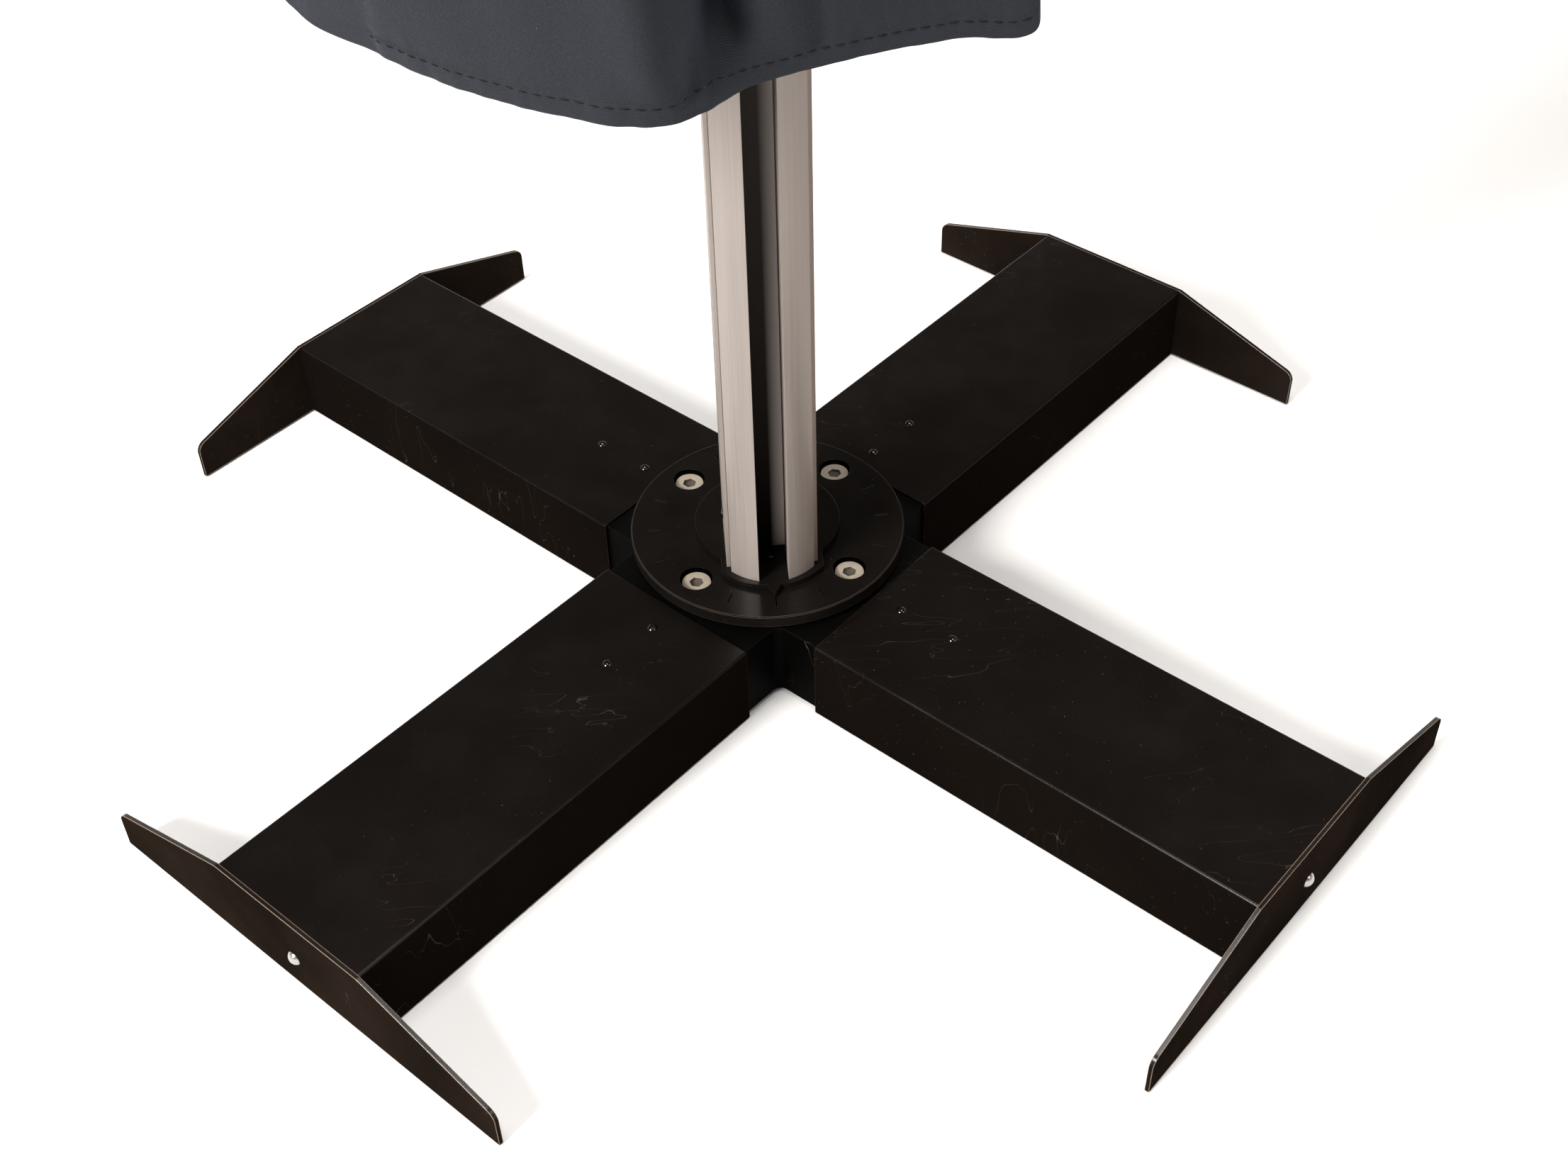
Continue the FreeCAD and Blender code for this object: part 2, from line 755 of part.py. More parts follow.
def make_bearing():
    """Flanged housing with two flanged bushes that hold the spindle upright."""
    housing = new_body("bearing_housing")
    tube = new_sketch(housing, "XY_Plane", s.bearing_bottom)
    ring(tube, 0, 0, s.bearing_outer_radius)
    ring(tube, 0, 0, s.bearing_inner_radius)
    pad(housing, tube, dial_bottom - s.bearing_bottom)
    flange = new_sketch(housing, "XY_Plane", dial_bottom - s.bearing_flange_height)
    ring(flange, 0, 0, s.bearing_flange_radius)
    ring(flange, 0, 0, s.bearing_inner_radius)
    pad(housing, flange, s.bearing_flange_height)

    inside = s.spindle_radius + s.spindle_gap
    lower = new_body("lower_bush")
    sleeve = new_sketch(lower, "XY_Plane", s.bearing_bottom)
    ring(sleeve, 0, 0, s.bearing_inner_radius)
    ring(sleeve, 0, 0, inside)
    pad(lower, sleeve, s.bush_length)
    lip = new_sketch(lower, "XY_Plane", s.bearing_bottom)
    ring(lip, 0, 0, s.bearing_outer_radius - s.bush_flange_inset)
    ring(lip, 0, 0, inside)
    pad(lower, lip, s.bush_flange_height, backwards=True)

    upper = new_body("upper_bush")
    tall = new_sketch(upper, "XY_Plane", dial_bottom - s.bush_length)
    ring(tall, 0, 0, s.bearing_inner_radius)
    ring(tall, 0, 0, inside)
    pad(upper, tall, s.bush_length)


def make_dial():
    """Fixed round dial with a tick every 22.5 degrees and four sunk bolts."""
    body = new_body("dial_plate")
    disc = new_sketch(body, "XY_Plane", dial_bottom)
    ring(disc, 0, 0, s.dial_radius)
    ring(disc, 0, 0, s.dial_bore_radius)
    pad(body, disc, dial_top - dial_bottom)
    rim = s.dial_radius.number

    def rim_edge(edge):
        return edge.Curve.TypeId == "Part::GeomCircle" and abs(edge.Curve.Radius - rim) < 1e-6

    round_edges(body, s.dial_edge, rim_edge, kind="Chamfer")
    recess = new_sketch(body, "XY_Plane", dial_top)
    ring(recess, 0, 0, s.slide_washer_radius + s.slide_washer_rim_gap)
    pocket(body, recess, s.slide_washer_height - s.slide_washer_proud)
    quarter = math.sqrt(0.5)
    across = bolt_circle * quarter
    sinks = new_sketch(body, "XY_Plane", dial_top)
    ring(sinks, across, across, s.dial_pocket_radius)
    sink = pocket(body, sinks, s.dial_pocket_depth)
    bores = new_sketch(body, "XY_Plane", dial_top)
    ring(bores, across, across, s.dial_bolt_radius)
    bore = pocket(body, bores, dial_top - dial_bottom)
    repeat_around(body, [sink, bore], DIAL_BOLTS)
    mark = new_sketch(body, "XY_Plane", dial_top)
    half = s.tick_width / 2.0
    rectangle(mark, tick_inner, -half, tick_inner + s.tick_length, half)
    tick = pocket(body, mark, s.tick_depth)
    repeat_around(body, [tick], TICKS)


def make_dial_bolts():
    """Low socket-head bolts that hold the dial down on the frame."""
    bolts = []
    seat = dial_pocket_floor
    for number in range(DIAL_BOLTS):
        tag = f"dial_bolt_{number}"
        stem = cylinder(
            tag + "_stem", s.dial_bolt_radius, s.dial_bolt_reach,
            bolt_circle, 0, seat - s.dial_bolt_reach,
        )
        head = cylinder(
            tag + "_head", s.dial_bolt_head_radius, s.dial_bolt_head_height,
            bolt_circle, 0, seat,
        )
        socket = hex_bar(
            tag + "_socket", s.dial_bolt_socket_width, s.dial_bolt_head_height,
            bolt_circle, 0, seat + s.dial_bolt_socket_floor,
        )
        bolt = cut(tag, fuse(tag + "_solid", [stem, head]), socket)
        bolts.append(turned_copy(bolt, tag + "_placed", 45.0 + 360.0 * number / DIAL_BOLTS))
    group("dial_bolts", bolts)


def make_spindle():
    """Spindle under the collar, its thrust washer, and the nut that keeps it in."""
    washer = new_body("slide_washer")
    face = new_sketch(washer, "XY_Plane", dial_top + s.slide_washer_proud)
    ring(face, 0, 0, s.slide_washer_radius)
    ring(face, 0, 0, s.dial_bore_radius + s.slide_washer_bore_gap)
    pad(washer, face, s.slide_washer_height, backwards=True)

    spindle = new_body("spindle")
    shaft = new_sketch(spindle, "XY_Plane", collar_bottom)
    ring(shaft, 0, 0, s.spindle_radius)
    pad(spindle, shaft, collar_bottom - spindle_end, backwards=True)
    stud = new_sketch(spindle, "XY_Plane", spindle_end)
    ring(stud, 0, 0, s.spindle_stud_radius)
    pad(spindle, stud, s.retainer_height + s.spindle_nut_height + s.bolt_end_length, backwards=True)
    thread = new_sketch(spindle, "XY_Plane", collar_bottom)
    ring(thread, 0, 0, s.foot_bolt_radius)
    pocket(spindle, thread, s.foot_bolt_reach)

    retainer = new_body("retaining_washer")
    flat = new_sketch(retainer, "XY_Plane", spindle_end)
    ring(flat, 0, 0, s.bearing_outer_radius - s.retainer_inset)
    ring(flat, 0, 0, s.spindle_stud_radius)
    pad(retainer, flat, s.retainer_height, backwards=True)

    nut = new_body("spindle_nut")
    hexa = new_sketch(nut, "XY_Plane", spindle_end - s.retainer_height)
    hexagon(hexa, dim(0), dim(0), s.spindle_nut_width)
    ring(hexa, 0, 0, s.spindle_stud_radius)
    pad(nut, hexa, s.spindle_nut_height, backwards=True)


# ---------------------------------------------------------------- mast


def closed_mast_outline(grow):
    """Anticlockwise outline round the whole mast, with the slot's mouth bridged."""
    half = mast_half + grow
    side = cheek_half + grow
    front = s.mast_front + grow
    cheek = s.cheek_radius + grow
    return [
        (-s.slot_half_width, -front),
        (s.slot_half_width, -front, cheek),
        (side, -s.cheek_shoulder),
        (half, -s.seam_front),
        (half, 0, HALF_TURN),
        (-half, 0),
        (-half, -s.seam_front),
        (-side, -s.cheek_shoulder, cheek),
    ]


def make_collar():
    """Collar with a pointer: it turns with the mast over the dial."""
    body = new_body("turn_collar")
    grow = s.collar_lip
    side = mast_half + grow
    front = s.mast_front + grow
    sketch = new_sketch(body, "XY_Plane", collar_bottom)
    lobe = [
        (-side, -s.cheek_shoulder, s.cheek_radius + grow),
        (-s.slot_half_width, -front),
        (s.slot_half_width, -front, s.cheek_radius + grow),
        (side, -s.cheek_shoulder),
        (side, 0),
        (-side, 0),
    ]
    outline(sketch, lobe)
    pad(body, sketch, s.collar_height)
    disc = new_sketch(body, "XY_Plane", collar_bottom)
    ring(disc, 0, 0, s.collar_radius)
    pad(body, disc, s.collar_height)
    tip = new_sketch(body, "XY_Plane", collar_bottom)
    outline(
        tip,
        [
            (dim(0), -s.pointer_reach),
            (s.pointer_half_width, -front + s.pointer_root),
            (-s.pointer_half_width, -front + s.pointer_root),
        ],
    )
    pad(body, tip, s.collar_height)
    holes = new_sketch(body, "XY_Plane", collar_top)
    ring(holes, 0, 0, s.foot_bolt_radius)
    ring(holes, 0, -s.drain_place, s.drain_radius)
    pocket(body, holes, s.collar_height)


def make_mast():
    """Front extrusion with the open channel and its two hollow cheeks, and the rear tube."""
    height = s.mast_top - collar_top
    front = new_body("mast_front")
    section = new_sketch(front, "XY_Plane", collar_top)
    slot = s.slot_half_width
    wall = s.mast_wall
    right = [
        (slot, -slot_back),
        (slot, -s.mast_front, s.cheek_radius),
        (cheek_half, -s.cheek_shoulder),
        (cheek_half, -rear_front_face),
    ]
    outline(section, mirrored(right))
    near = slot + wall
    far = cheek_half - wall
    bow = s.cheek_radius - wall
    tip = -(s.mast_front - s.cell_tip_wall)
    heel = -(s.cheek_shoulder - s.cell_heel_wall)
    deep = -(slot_back + s.cell_back_wall)
    outline(section, [(near, deep), (near, tip, bow), (far, heel), (far, deep)])
    outline(section, [(-far, deep), (-far, heel, bow), (-near, tip), (-near, deep)])
    pad(front, section, height)

    rear = new_body("mast_rear")
    tube = new_sketch(rear, "XY_Plane", collar_top)
    half = mast_half
    lip = cheek_half + s.seam_gap
    outline(
        tube,
        [
            (lip, -s.seam_front),
            (half, -s.seam_front),
            (half, 0, HALF_TURN),
            (-half, 0),
            (-half, -s.seam_front),
            (-lip, -s.seam_front),
            (-lip, -rear_front_face),
            (lip, -rear_front_face),
        ],
    )
    inside = chamber_radius
    outline(
        tube,
        [(inside, -chamber_front), (inside, 0, HALF_TURN), (-inside, 0), (-inside, -chamber_front)],
    )
    pad(rear, tube, height)
    pierce_mast_rear(rear)


def pierce_mast_rear(rear):
    """Side holes for the foot screws and the rear hole for the clamp screw."""
    sides = new_sketch(rear, "YZ_Plane", mast_half)
    ring(sides, -s.foot_screw_setback, collar_top + s.foot_screw_height, s.foot_screw_radius)
    pocket(rear, sides, mast_half * 2.0)
    back = new_sketch(rear, "XZ_Plane", -mast_half)
    ring(back, 0, clamp_height, s.clamp_screw_radius + s.clamp_hole_gap)
    pocket(rear, back, mast_half - s.post_half_width, upwards=True)


def chamber_outline(gap):
    """The mast's rear chamber, shrunk by a gap all round."""
    half = chamber_radius - gap
    low = chamber_front - gap
    return [(half, -low), (half, 0, HALF_TURN), (-half, 0), (-half, -low)]


def make_mast_foot():
    """Cast plug inside the mast's foot, bolted through the collar into the spindle."""
    plug = new_body("mast_foot_plug")
    section = new_sketch(plug, "XY_Plane", collar_top)
    outline(section, chamber_outline(s.plug_gap))
    ring(section, 0, 0, s.foot_bolt_radius)
    pad(plug, section, s.plug_height)
    sink = new_sketch(plug, "XY_Plane", plug_top)
    ring(sink, 0, 0, s.foot_bolt_head_radius + s.foot_bolt_sink_gap)
    pocket(plug, sink, s.foot_bolt_sink_depth)
    sides = new_sketch(plug, "YZ_Plane", chamber_radius)
    ring(sides, -s.foot_screw_setback, collar_top + s.foot_screw_height, s.foot_screw_radius)
    pocket(plug, sides, s.foot_screw_reach)
    other = new_sketch(plug, "YZ_Plane", -chamber_radius)
    ring(other, -s.foot_screw_setback, collar_top + s.foot_screw_height, s.foot_screw_radius)
    pocket(plug, other, s.foot_screw_reach, upwards=True)

    seat = plug_top - s.foot_bolt_sink_depth
    stem = cylinder(
        "foot_bolt_stem", s.foot_bolt_radius, seat - collar_bottom + s.foot_bolt_reach - s.bolt_end_length,
        0, 0, collar_bottom - s.foot_bolt_reach + s.bolt_end_length,
    )
    head = cylinder("foot_bolt_head", s.foot_bolt_head_radius, s.foot_bolt_head_height, 0, 0, seat)
    deep = s.foot_bolt_socket_depth
    socket = hex_bar(
        "foot_bolt_socket", s.foot_bolt_socket_width, deep, 0, 0, seat + s.foot_bolt_head_height - deep
    )
    keep(cut("foot_bolt", fuse("foot_bolt_solid", [stem, head]), socket), "foot_bolt")

    screws = []
    for sign in (1.0, -1.0):
        tag = "foot_screw_right" if sign > 0 else "foot_screw_left"
        face = mast_half * sign
        level = collar_top + s.foot_screw_height
        reach = s.mast_wall + s.foot_screw_reach
        stem = cylinder(
            tag + "_stem", s.foot_screw_radius, reach, face, -s.foot_screw_setback, level, along=(-sign, 0, 0)
        )
        head = dome(
            tag + "_head", s.foot_screw_head_radius, s.foot_screw_head_rise,
            face, -s.foot_screw_setback, level, along=(sign, 0, 0),
        )
        screws.append(fuse(tag, [stem, head]))
    group("mast_foot_screws", screws)


def make_mast_head():
    """Cast head that caps the mast, guides the post and carries the clamp."""
    head = new_body("mast_head")
    outer = new_sketch(head, "XY_Plane", head_bottom)
    outline(outer, closed_mast_outline(s.head_lip))
    pad(head, outer, head_top - head_bottom)
    top_number = head_top.number
    round_edges(head, s.head_edge, lambda edge: abs(edge.CenterOfMass.z - top_number) < 1e-6, "Chamfer")
    boss = new_sketch(head, "XZ_Plane", -boss_reach)
    ring(boss, 0, clamp_height, s.clamp_boss_radius)
    pad(head, boss, boss_reach - chamber_radius)
    sleeve = new_sketch(head, "XY_Plane", head_bottom)
    outline(sleeve, closed_mast_outline(s.head_sleeve_gap))
    pocket(head, sleeve, s.mast_top - head_bottom, upwards=True)
    opening = new_sketch(head, "XY_Plane", head_top)
    wide = guide_half
    rectangle(opening, -wide, -wide, wide, wide)
    pocket(head, opening, head_top - s.mast_top)
    bore = new_sketch(head, "XZ_Plane", -boss_reach)
    ring(bore, 0, clamp_height, s.clamp_screw_radius + s.clamp_screw_gap)
    pocket(head, bore, boss_reach - chamber_radius, upwards=True)

    guide = new_body("upper_guide")
    square = new_sketch(guide, "XY_Plane", guide_bottom)
    rectangle(square, -wide, -wide, wide, wide)
    pad(guide, square, head_top - guide_bottom)
    rim = new_sketch(guide, "XY_Plane", head_top)
    lip = guide_flange_half
    rectangle(rim, -lip, -lip, lip, lip)
    pad(guide, rim, s.guide_flange_height)
    bore = new_sketch(guide, "XY_Plane", head_top + s.guide_flange_height)
    half = s.post_half_width + s.slide_gap
    rectangle(bore, -half, -half, half, half)
    pocket(guide, bore, head_top + s.guide_flange_height - guide_bottom)


def make_clamp():
    """Captive knob screw whose thread draws a shoe against the post."""
    axis = (0, 1, 0)
    level = clamp_height
    shoe = new_body("clamp_shoe")
    front = s.post_half_width + s.shoe_gap
    pressed = new_sketch(shoe, "XZ_Plane", -front)
    half = s.shoe_half_width
    rectangle(pressed, -half, level - half, half, level + half)
    pad(shoe, pressed, s.shoe_length, backwards=True)
    thread = new_sketch(shoe, "XZ_Plane", -front - s.shoe_length)
    ring(thread, 0, level, s.clamp_screw_radius + s.clamp_screw_gap)
    pocket(shoe, thread, s.shoe_length - s.shoe_floor, upwards=True)

    knob_start = boss_reach + s.knob_gap
    tip = front + s.shoe_floor + s.screw_tip_gap
    length = knob_start - tip + s.knob_socket_depth
    stem = cylinder("clamp_screw_stem", s.clamp_screw_radius, length, 0, tip, level, axis)
    end = s.clamp_screw_end
    nose = cylinder("clamp_screw_nose", s.clamp_screw_radius - end, end, 0, tip - end, level, axis)
    keep(fuse("clamp_screw", [stem, nose]), "clamp_screw")

    knob = new_body("clamp_knob")
    face = new_sketch(knob, "XZ_Plane", -knob_start)
    ring(face, 0, level, s.knob_radius)
    pad(knob, face, s.knob_length, backwards=True)
    lobes = new_sketch(knob, "XZ_Plane", -knob_start - s.knob_length)
    reach = s.knob_radius + s.knob_notch_offset
    for number in range(KNOB_NOTCHES):
        turn = math.tau * number / KNOB_NOTCHES
        ring(lobes, reach * math.cos(turn), level + reach * math.sin(turn), s.knob_notch_radius)
    pocket(knob, lobes, s.knob_length, upwards=True)
    far = knob_start.number + s.knob_length.number
    round_edges(knob, s.knob_edge_radius, lambda edge: abs(edge.CenterOfMass.y - far) < 1e-6)
    socket = new_sketch(knob, "XZ_Plane", -knob_start)
    ring(socket, 0, level, s.clamp_screw_radius)
    pocket(knob, socket, s.knob_socket_depth)


# ---------------------------------------------------------------- post, hub and arms


def square_corners(half):
    return [(-half, -half), (half, -half), (half, half), (-half, half)]


def make_post():
    post = new_body("inner_post")
    tube = new_sketch(post, "XY_Plane", s.post_bottom)
    outline(tube, square_corners(s.post_half_width))
    outline(tube, square_corners(s.post_half_width - s.post_wall))
    pad(post, tube, s.post_top - s.post_bottom)
    outer = s.post_half_width.number

    def corner(edge):
        return upright(edge) and abs(abs(edge.CenterOfMass.x) - outer) < 1e-6

    round_edges(post, s.post_corner_radius, corner)

    guide = new_body("lower_guide")
    section = new_sketch(guide, "XY_Plane", s.post_bottom)
    outline(section, chamber_outline(s.slide_gap))
    pad(guide, section, s.lower_guide_height, backwards=True)
    spigot = new_sketch(guide, "XY_Plane", s.post_bottom)
    outline(spigot, square_corners(s.post_half_width - s.post_wall))
    pad(guide, spigot, s.lower_guide_height / 2.0)

    collar = new_body("stop_collar")
    seat = head_top + s.guide_flange_height + s.slide_gap
    ring_sketch = new_sketch(collar, "XY_Plane", seat)
    outline(ring_sketch, square_corners(stop_collar_half))
    pad(collar, ring_sketch, s.stop_collar_height)
    edge_number = stop_collar_half.number

    def outside(edge):
        return upright(edge) and abs(abs(edge.CenterOfMass.x) - edge_number) < 1e-6

    round_edges(collar, s.stop_collar_corner_radius, outside)
    through = new_sketch(collar, "XY_Plane", seat)
    outline(through, square_corners(s.post_half_width))
    pocket(collar, through, s.stop_collar_height, upwards=True)


def make_hub():
    """Cast four way hub, turned so that its flat sides face the arms."""
    hub = new_body("arm_hub", 45.0)
    block_sketch = new_sketch(hub, "XY_Plane", hub_bottom)
    outline(block_sketch, square_corners(hub_half))
    pad(hub, block_sketch, hub_top - hub_bottom)
    round_edges(hub, s.hub_corner_radius, upright)
    socket = new_sketch(hub, "XY_Plane", hub_bottom)
    reach = (s.post_half_width + s.hub_gap) * math.sqrt(2.0)
    outline(socket, [(reach, 0), (dim(0), reach), (-reach, 0), (dim(0), -reach)])
    pocket(hub, socket, s.post_top - hub_bottom, upwards=True)
    for role, sign in (("YZ_Plane", 1.0), ("XZ_Plane", -1.0)):
        bores = new_sketch(hub, role, hub_half)
        for side in (1.0, -1.0):
            ring(bores, 0, arm_height + s.arm_bolt_offset * side, s.arm_bolt_radius)
        pocket(hub, bores, hub_half * 2.0)

    cap = new_body("hub_cap", 45.0)
    lid = new_sketch(cap, "XY_Plane", hub_top)
    outline(lid, square_corners(hub_half))
    pad(cap, lid, s.hub_cap_height)
    round_edges(cap, s.hub_corner_radius, upright)
    top_number = (hub_top + s.hub_cap_height).number
    round_edges(cap, s.hub_cap_edge_radius, lambda edge: abs(edge.CenterOfMass.z - top_number) < 1e-6)


def make_arm(name, angle):
    """Flanged hang rail and its end stop."""
    arm = new_body("arm_" + name, angle)
    half = s.arm_flange_width / 2.0
    tall = s.arm_flange_height / 2.0
    flange = new_sketch(arm, "YZ_Plane", hub_half)
    rectangle(flange, -half, arm_height - tall, half, arm_height + tall)
    pad(arm, flange, s.arm_flange_sheet)
    rail = new_sketch(arm, "YZ_Plane", hub_half)
    wide = s.arm_rail_width / 2.0
    high = s.arm_rail_height / 2.0
    rectangle(rail, -wide, arm_height - high, wide, arm_height + high)
    pad(arm, rail, s.arm_reach - hub_half)
    level = arm_height.number
    side = s.arm_rail_width.number / 2.0
    rise = s.arm_rail_height.number / 2.0

    def rail_edge(edge):
        middle = edge.CenterOfMass
        on_side = abs(abs(middle.y) - side) < 1e-6
        return on_side and abs(abs(middle.z - level) - rise) < 1e-6 and edge.Length > 50.0

    round_edges(arm, s.arm_rail_corner_radius, rail_edge)
    hollow = new_sketch(arm, "YZ_Plane", s.arm_reach)
    wall = s.arm_rail_wall
    rectangle(
        hollow, -wide + wall, arm_height - high + wall, wide - wall, arm_height + high - wall
    )
    pocket(arm, hollow, s.arm_reach - hub_half - s.arm_flange_sheet)
    bores = new_sketch(arm, "YZ_Plane", hub_half + s.arm_flange_sheet)
    for sign in (1.0, -1.0):
        ring(bores, 0, arm_height + s.arm_bolt_offset * sign, s.arm_bolt_radius)
    pocket(arm, bores, s.arm_flange_sheet)

    stop = new_body("arm_stop_" + name, angle)
    face = new_sketch(stop, "YZ_Plane", s.arm_reach)
    broad = s.arm_stop_width / 2.0
    drop = s.arm_rail_height / 2.0 + s.arm_stop_drop
    rectangle(face, -broad, arm_height - drop, broad, arm_height - drop + s.arm_stop_height)
    pad(stop, face, s.arm_stop_length)
    edge_y = broad.number

    def long_corner(edge):
        middle = edge.CenterOfMass
        straight = edge.Curve.TypeId == "Part::GeomLine" and abs(edge.Curve.Direction.x) > 0.99
        return straight and abs(abs(middle.y) - edge_y) < 1e-6

    round_edges(stop, s.arm_stop_corner_radius, long_corner)
    outer_x = (s.arm_reach + s.arm_stop_length).number
    round_edges(stop, s.arm_stop_edge_radius, lambda edge: abs(edge.CenterOfMass.x - outer_x) < 1e-6)
    plug = new_sketch(stop, "YZ_Plane", s.arm_reach)
    rectangle(
        plug, -wide + wall, arm_height - high + wall, wide - wall, arm_height + high - wall
    )
    pad(stop, plug, s.arm_stop_plug, backwards=True)


def make_arm_bolts():
    bolts = []
    seat = hub_half + s.arm_flange_sheet
    for name, angle in LEGS.items():
        for sign in (1.0, -1.0):
            tag = f"arm_bolt_{name}_{'top' if sign > 0 else 'low'}"
            level = arm_height + s.arm_bolt_offset * sign
            stem = cylinder(
                tag + "_stem", s.arm_bolt_radius, s.arm_bolt_reach + s.arm_flange_sheet,
                seat, 0, level, along=(-1, 0, 0),
            )
            head = dome(
                tag + "_head", s.arm_bolt_head_radius, s.arm_bolt_head_rise,
                seat, dim(0), level, along=(1, 0, 0),
            )
            bolts.append(turned_copy(fuse(tag, [stem, head]), tag + "_placed", angle))
    group("arm_bolts", bolts)


def make_dust_sheet():
    """Hood-shaped envelope of the cloth that hangs over the two front arms, open behind and below."""
    body = new_body("dust_sheet")

    def plan(sketch, inset, rear):
        front = sheet_front - inset
        widest = front + s.sheet_side_offset - inset * 0.5
        narrow = rear + s.sheet_side_offset - inset * 0.5
        outline(sketch, [(-widest, -front), (widest, -front), (narrow, -rear), (-narrow, -rear)])

    outer = new_sketch(body, "XY_Plane", sheet_hem)
    plan(outer, dim(0), s.sheet_rear)
    pad(body, outer, sheet_top - sheet_hem)
    inner = new_sketch(body, "XY_Plane", sheet_hem)
    plan(inner, s.sheet_thickness, s.sheet_rear - s.sheet_rear_lap)
    pocket(body, inner, sheet_top - sheet_hem - s.sheet_thickness, upwards=True)


# ---------------------------------------------------------------- build, check and write

make_centre_frame()
for leg_name, leg_angle in LEGS.items():
    make_leg(leg_name, leg_angle)
make_base_fasteners()
make_hub_plate()
make_bearing()
make_dial()
make_dial_bolts()
make_spindle()
make_collar()
make_mast()
make_mast_foot()
make_mast_head()
make_clamp()
make_post()
make_hub()
for arm_name, arm_angle in LEGS.items():
    make_arm(arm_name, arm_angle)
make_arm_bolts()
make_dust_sheet()
doc.recompute()

for item in doc.Objects:
    if "Invalid" in item.State or "Error" in item.State:
        raise RuntimeError(f"{item.Label} is {item.State}")
os.makedirs("parts", exist_ok=True)
for item in nodes:
    if item.Shape.isNull() or not item.Shape.isValid():
        raise RuntimeError(f"{item.Label} has no valid shape")
for item in nodes:
    item.Shape.exportStep(os.path.join("parts", item.Label + ".step"))
print(f"{len(nodes)} sub-parts written")
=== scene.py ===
"""Four way clothing rack: studio scene, materials and the draped dust sheet."""
import math

import bpy
import numpy as np
from mathutils import Matrix, Vector, noise


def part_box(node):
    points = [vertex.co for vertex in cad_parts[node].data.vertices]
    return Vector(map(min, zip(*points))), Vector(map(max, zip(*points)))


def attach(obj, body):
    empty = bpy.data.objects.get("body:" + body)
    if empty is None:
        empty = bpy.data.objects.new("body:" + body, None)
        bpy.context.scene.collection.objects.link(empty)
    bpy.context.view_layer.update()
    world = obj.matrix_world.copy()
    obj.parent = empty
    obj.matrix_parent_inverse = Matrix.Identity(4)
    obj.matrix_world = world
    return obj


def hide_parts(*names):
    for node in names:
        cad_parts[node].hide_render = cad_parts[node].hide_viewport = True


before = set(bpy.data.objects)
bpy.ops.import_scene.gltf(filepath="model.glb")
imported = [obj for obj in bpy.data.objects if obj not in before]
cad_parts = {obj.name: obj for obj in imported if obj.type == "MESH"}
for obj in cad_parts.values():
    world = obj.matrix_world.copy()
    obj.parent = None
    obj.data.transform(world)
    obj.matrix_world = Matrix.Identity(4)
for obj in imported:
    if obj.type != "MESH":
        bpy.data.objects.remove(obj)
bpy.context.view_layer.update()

# ---------------------------------------------------------------- camera

IMAGE_WIDTH = 2212
FOCAL_PIXELS = 2835.31
SENSOR = 36.0
CAMERA_PLACE = Vector((-0.07351, -1.45973, 1.39767))
AZIMUTH = math.radians(-3.444)
ELEVATION = math.radians(43.363)
ROLL = math.radians(-1.632)

back = Vector((
    math.sin(AZIMUTH) * math.cos(ELEVATION),
    -math.cos(AZIMUTH) * math.cos(ELEVATION),
    math.sin(ELEVATION),
))
across = (-back).cross(Vector((0, 0, 1))).normalized()
upward = across.cross(-back)
right = across * math.cos(ROLL) + upward * math.sin(ROLL)
top = upward * math.cos(ROLL) - across * math.sin(ROLL)
camera = bpy.data.objects.new("camera", bpy.data.cameras.new("camera"))
bpy.context.scene.collection.objects.link(camera)
bpy.context.scene.camera = camera
camera.data.sensor_width = SENSOR
camera.data.lens = FOCAL_PIXELS * SENSOR / IMAGE_WIDTH
turn = Matrix((right, top, back)).transposed().to_4x4()
camera.matrix_world = Matrix.Translation(CAMERA_PLACE) @ turn

bpy.context.scene.view_settings.view_transform = "Standard"

# ---------------------------------------------------------------- materials


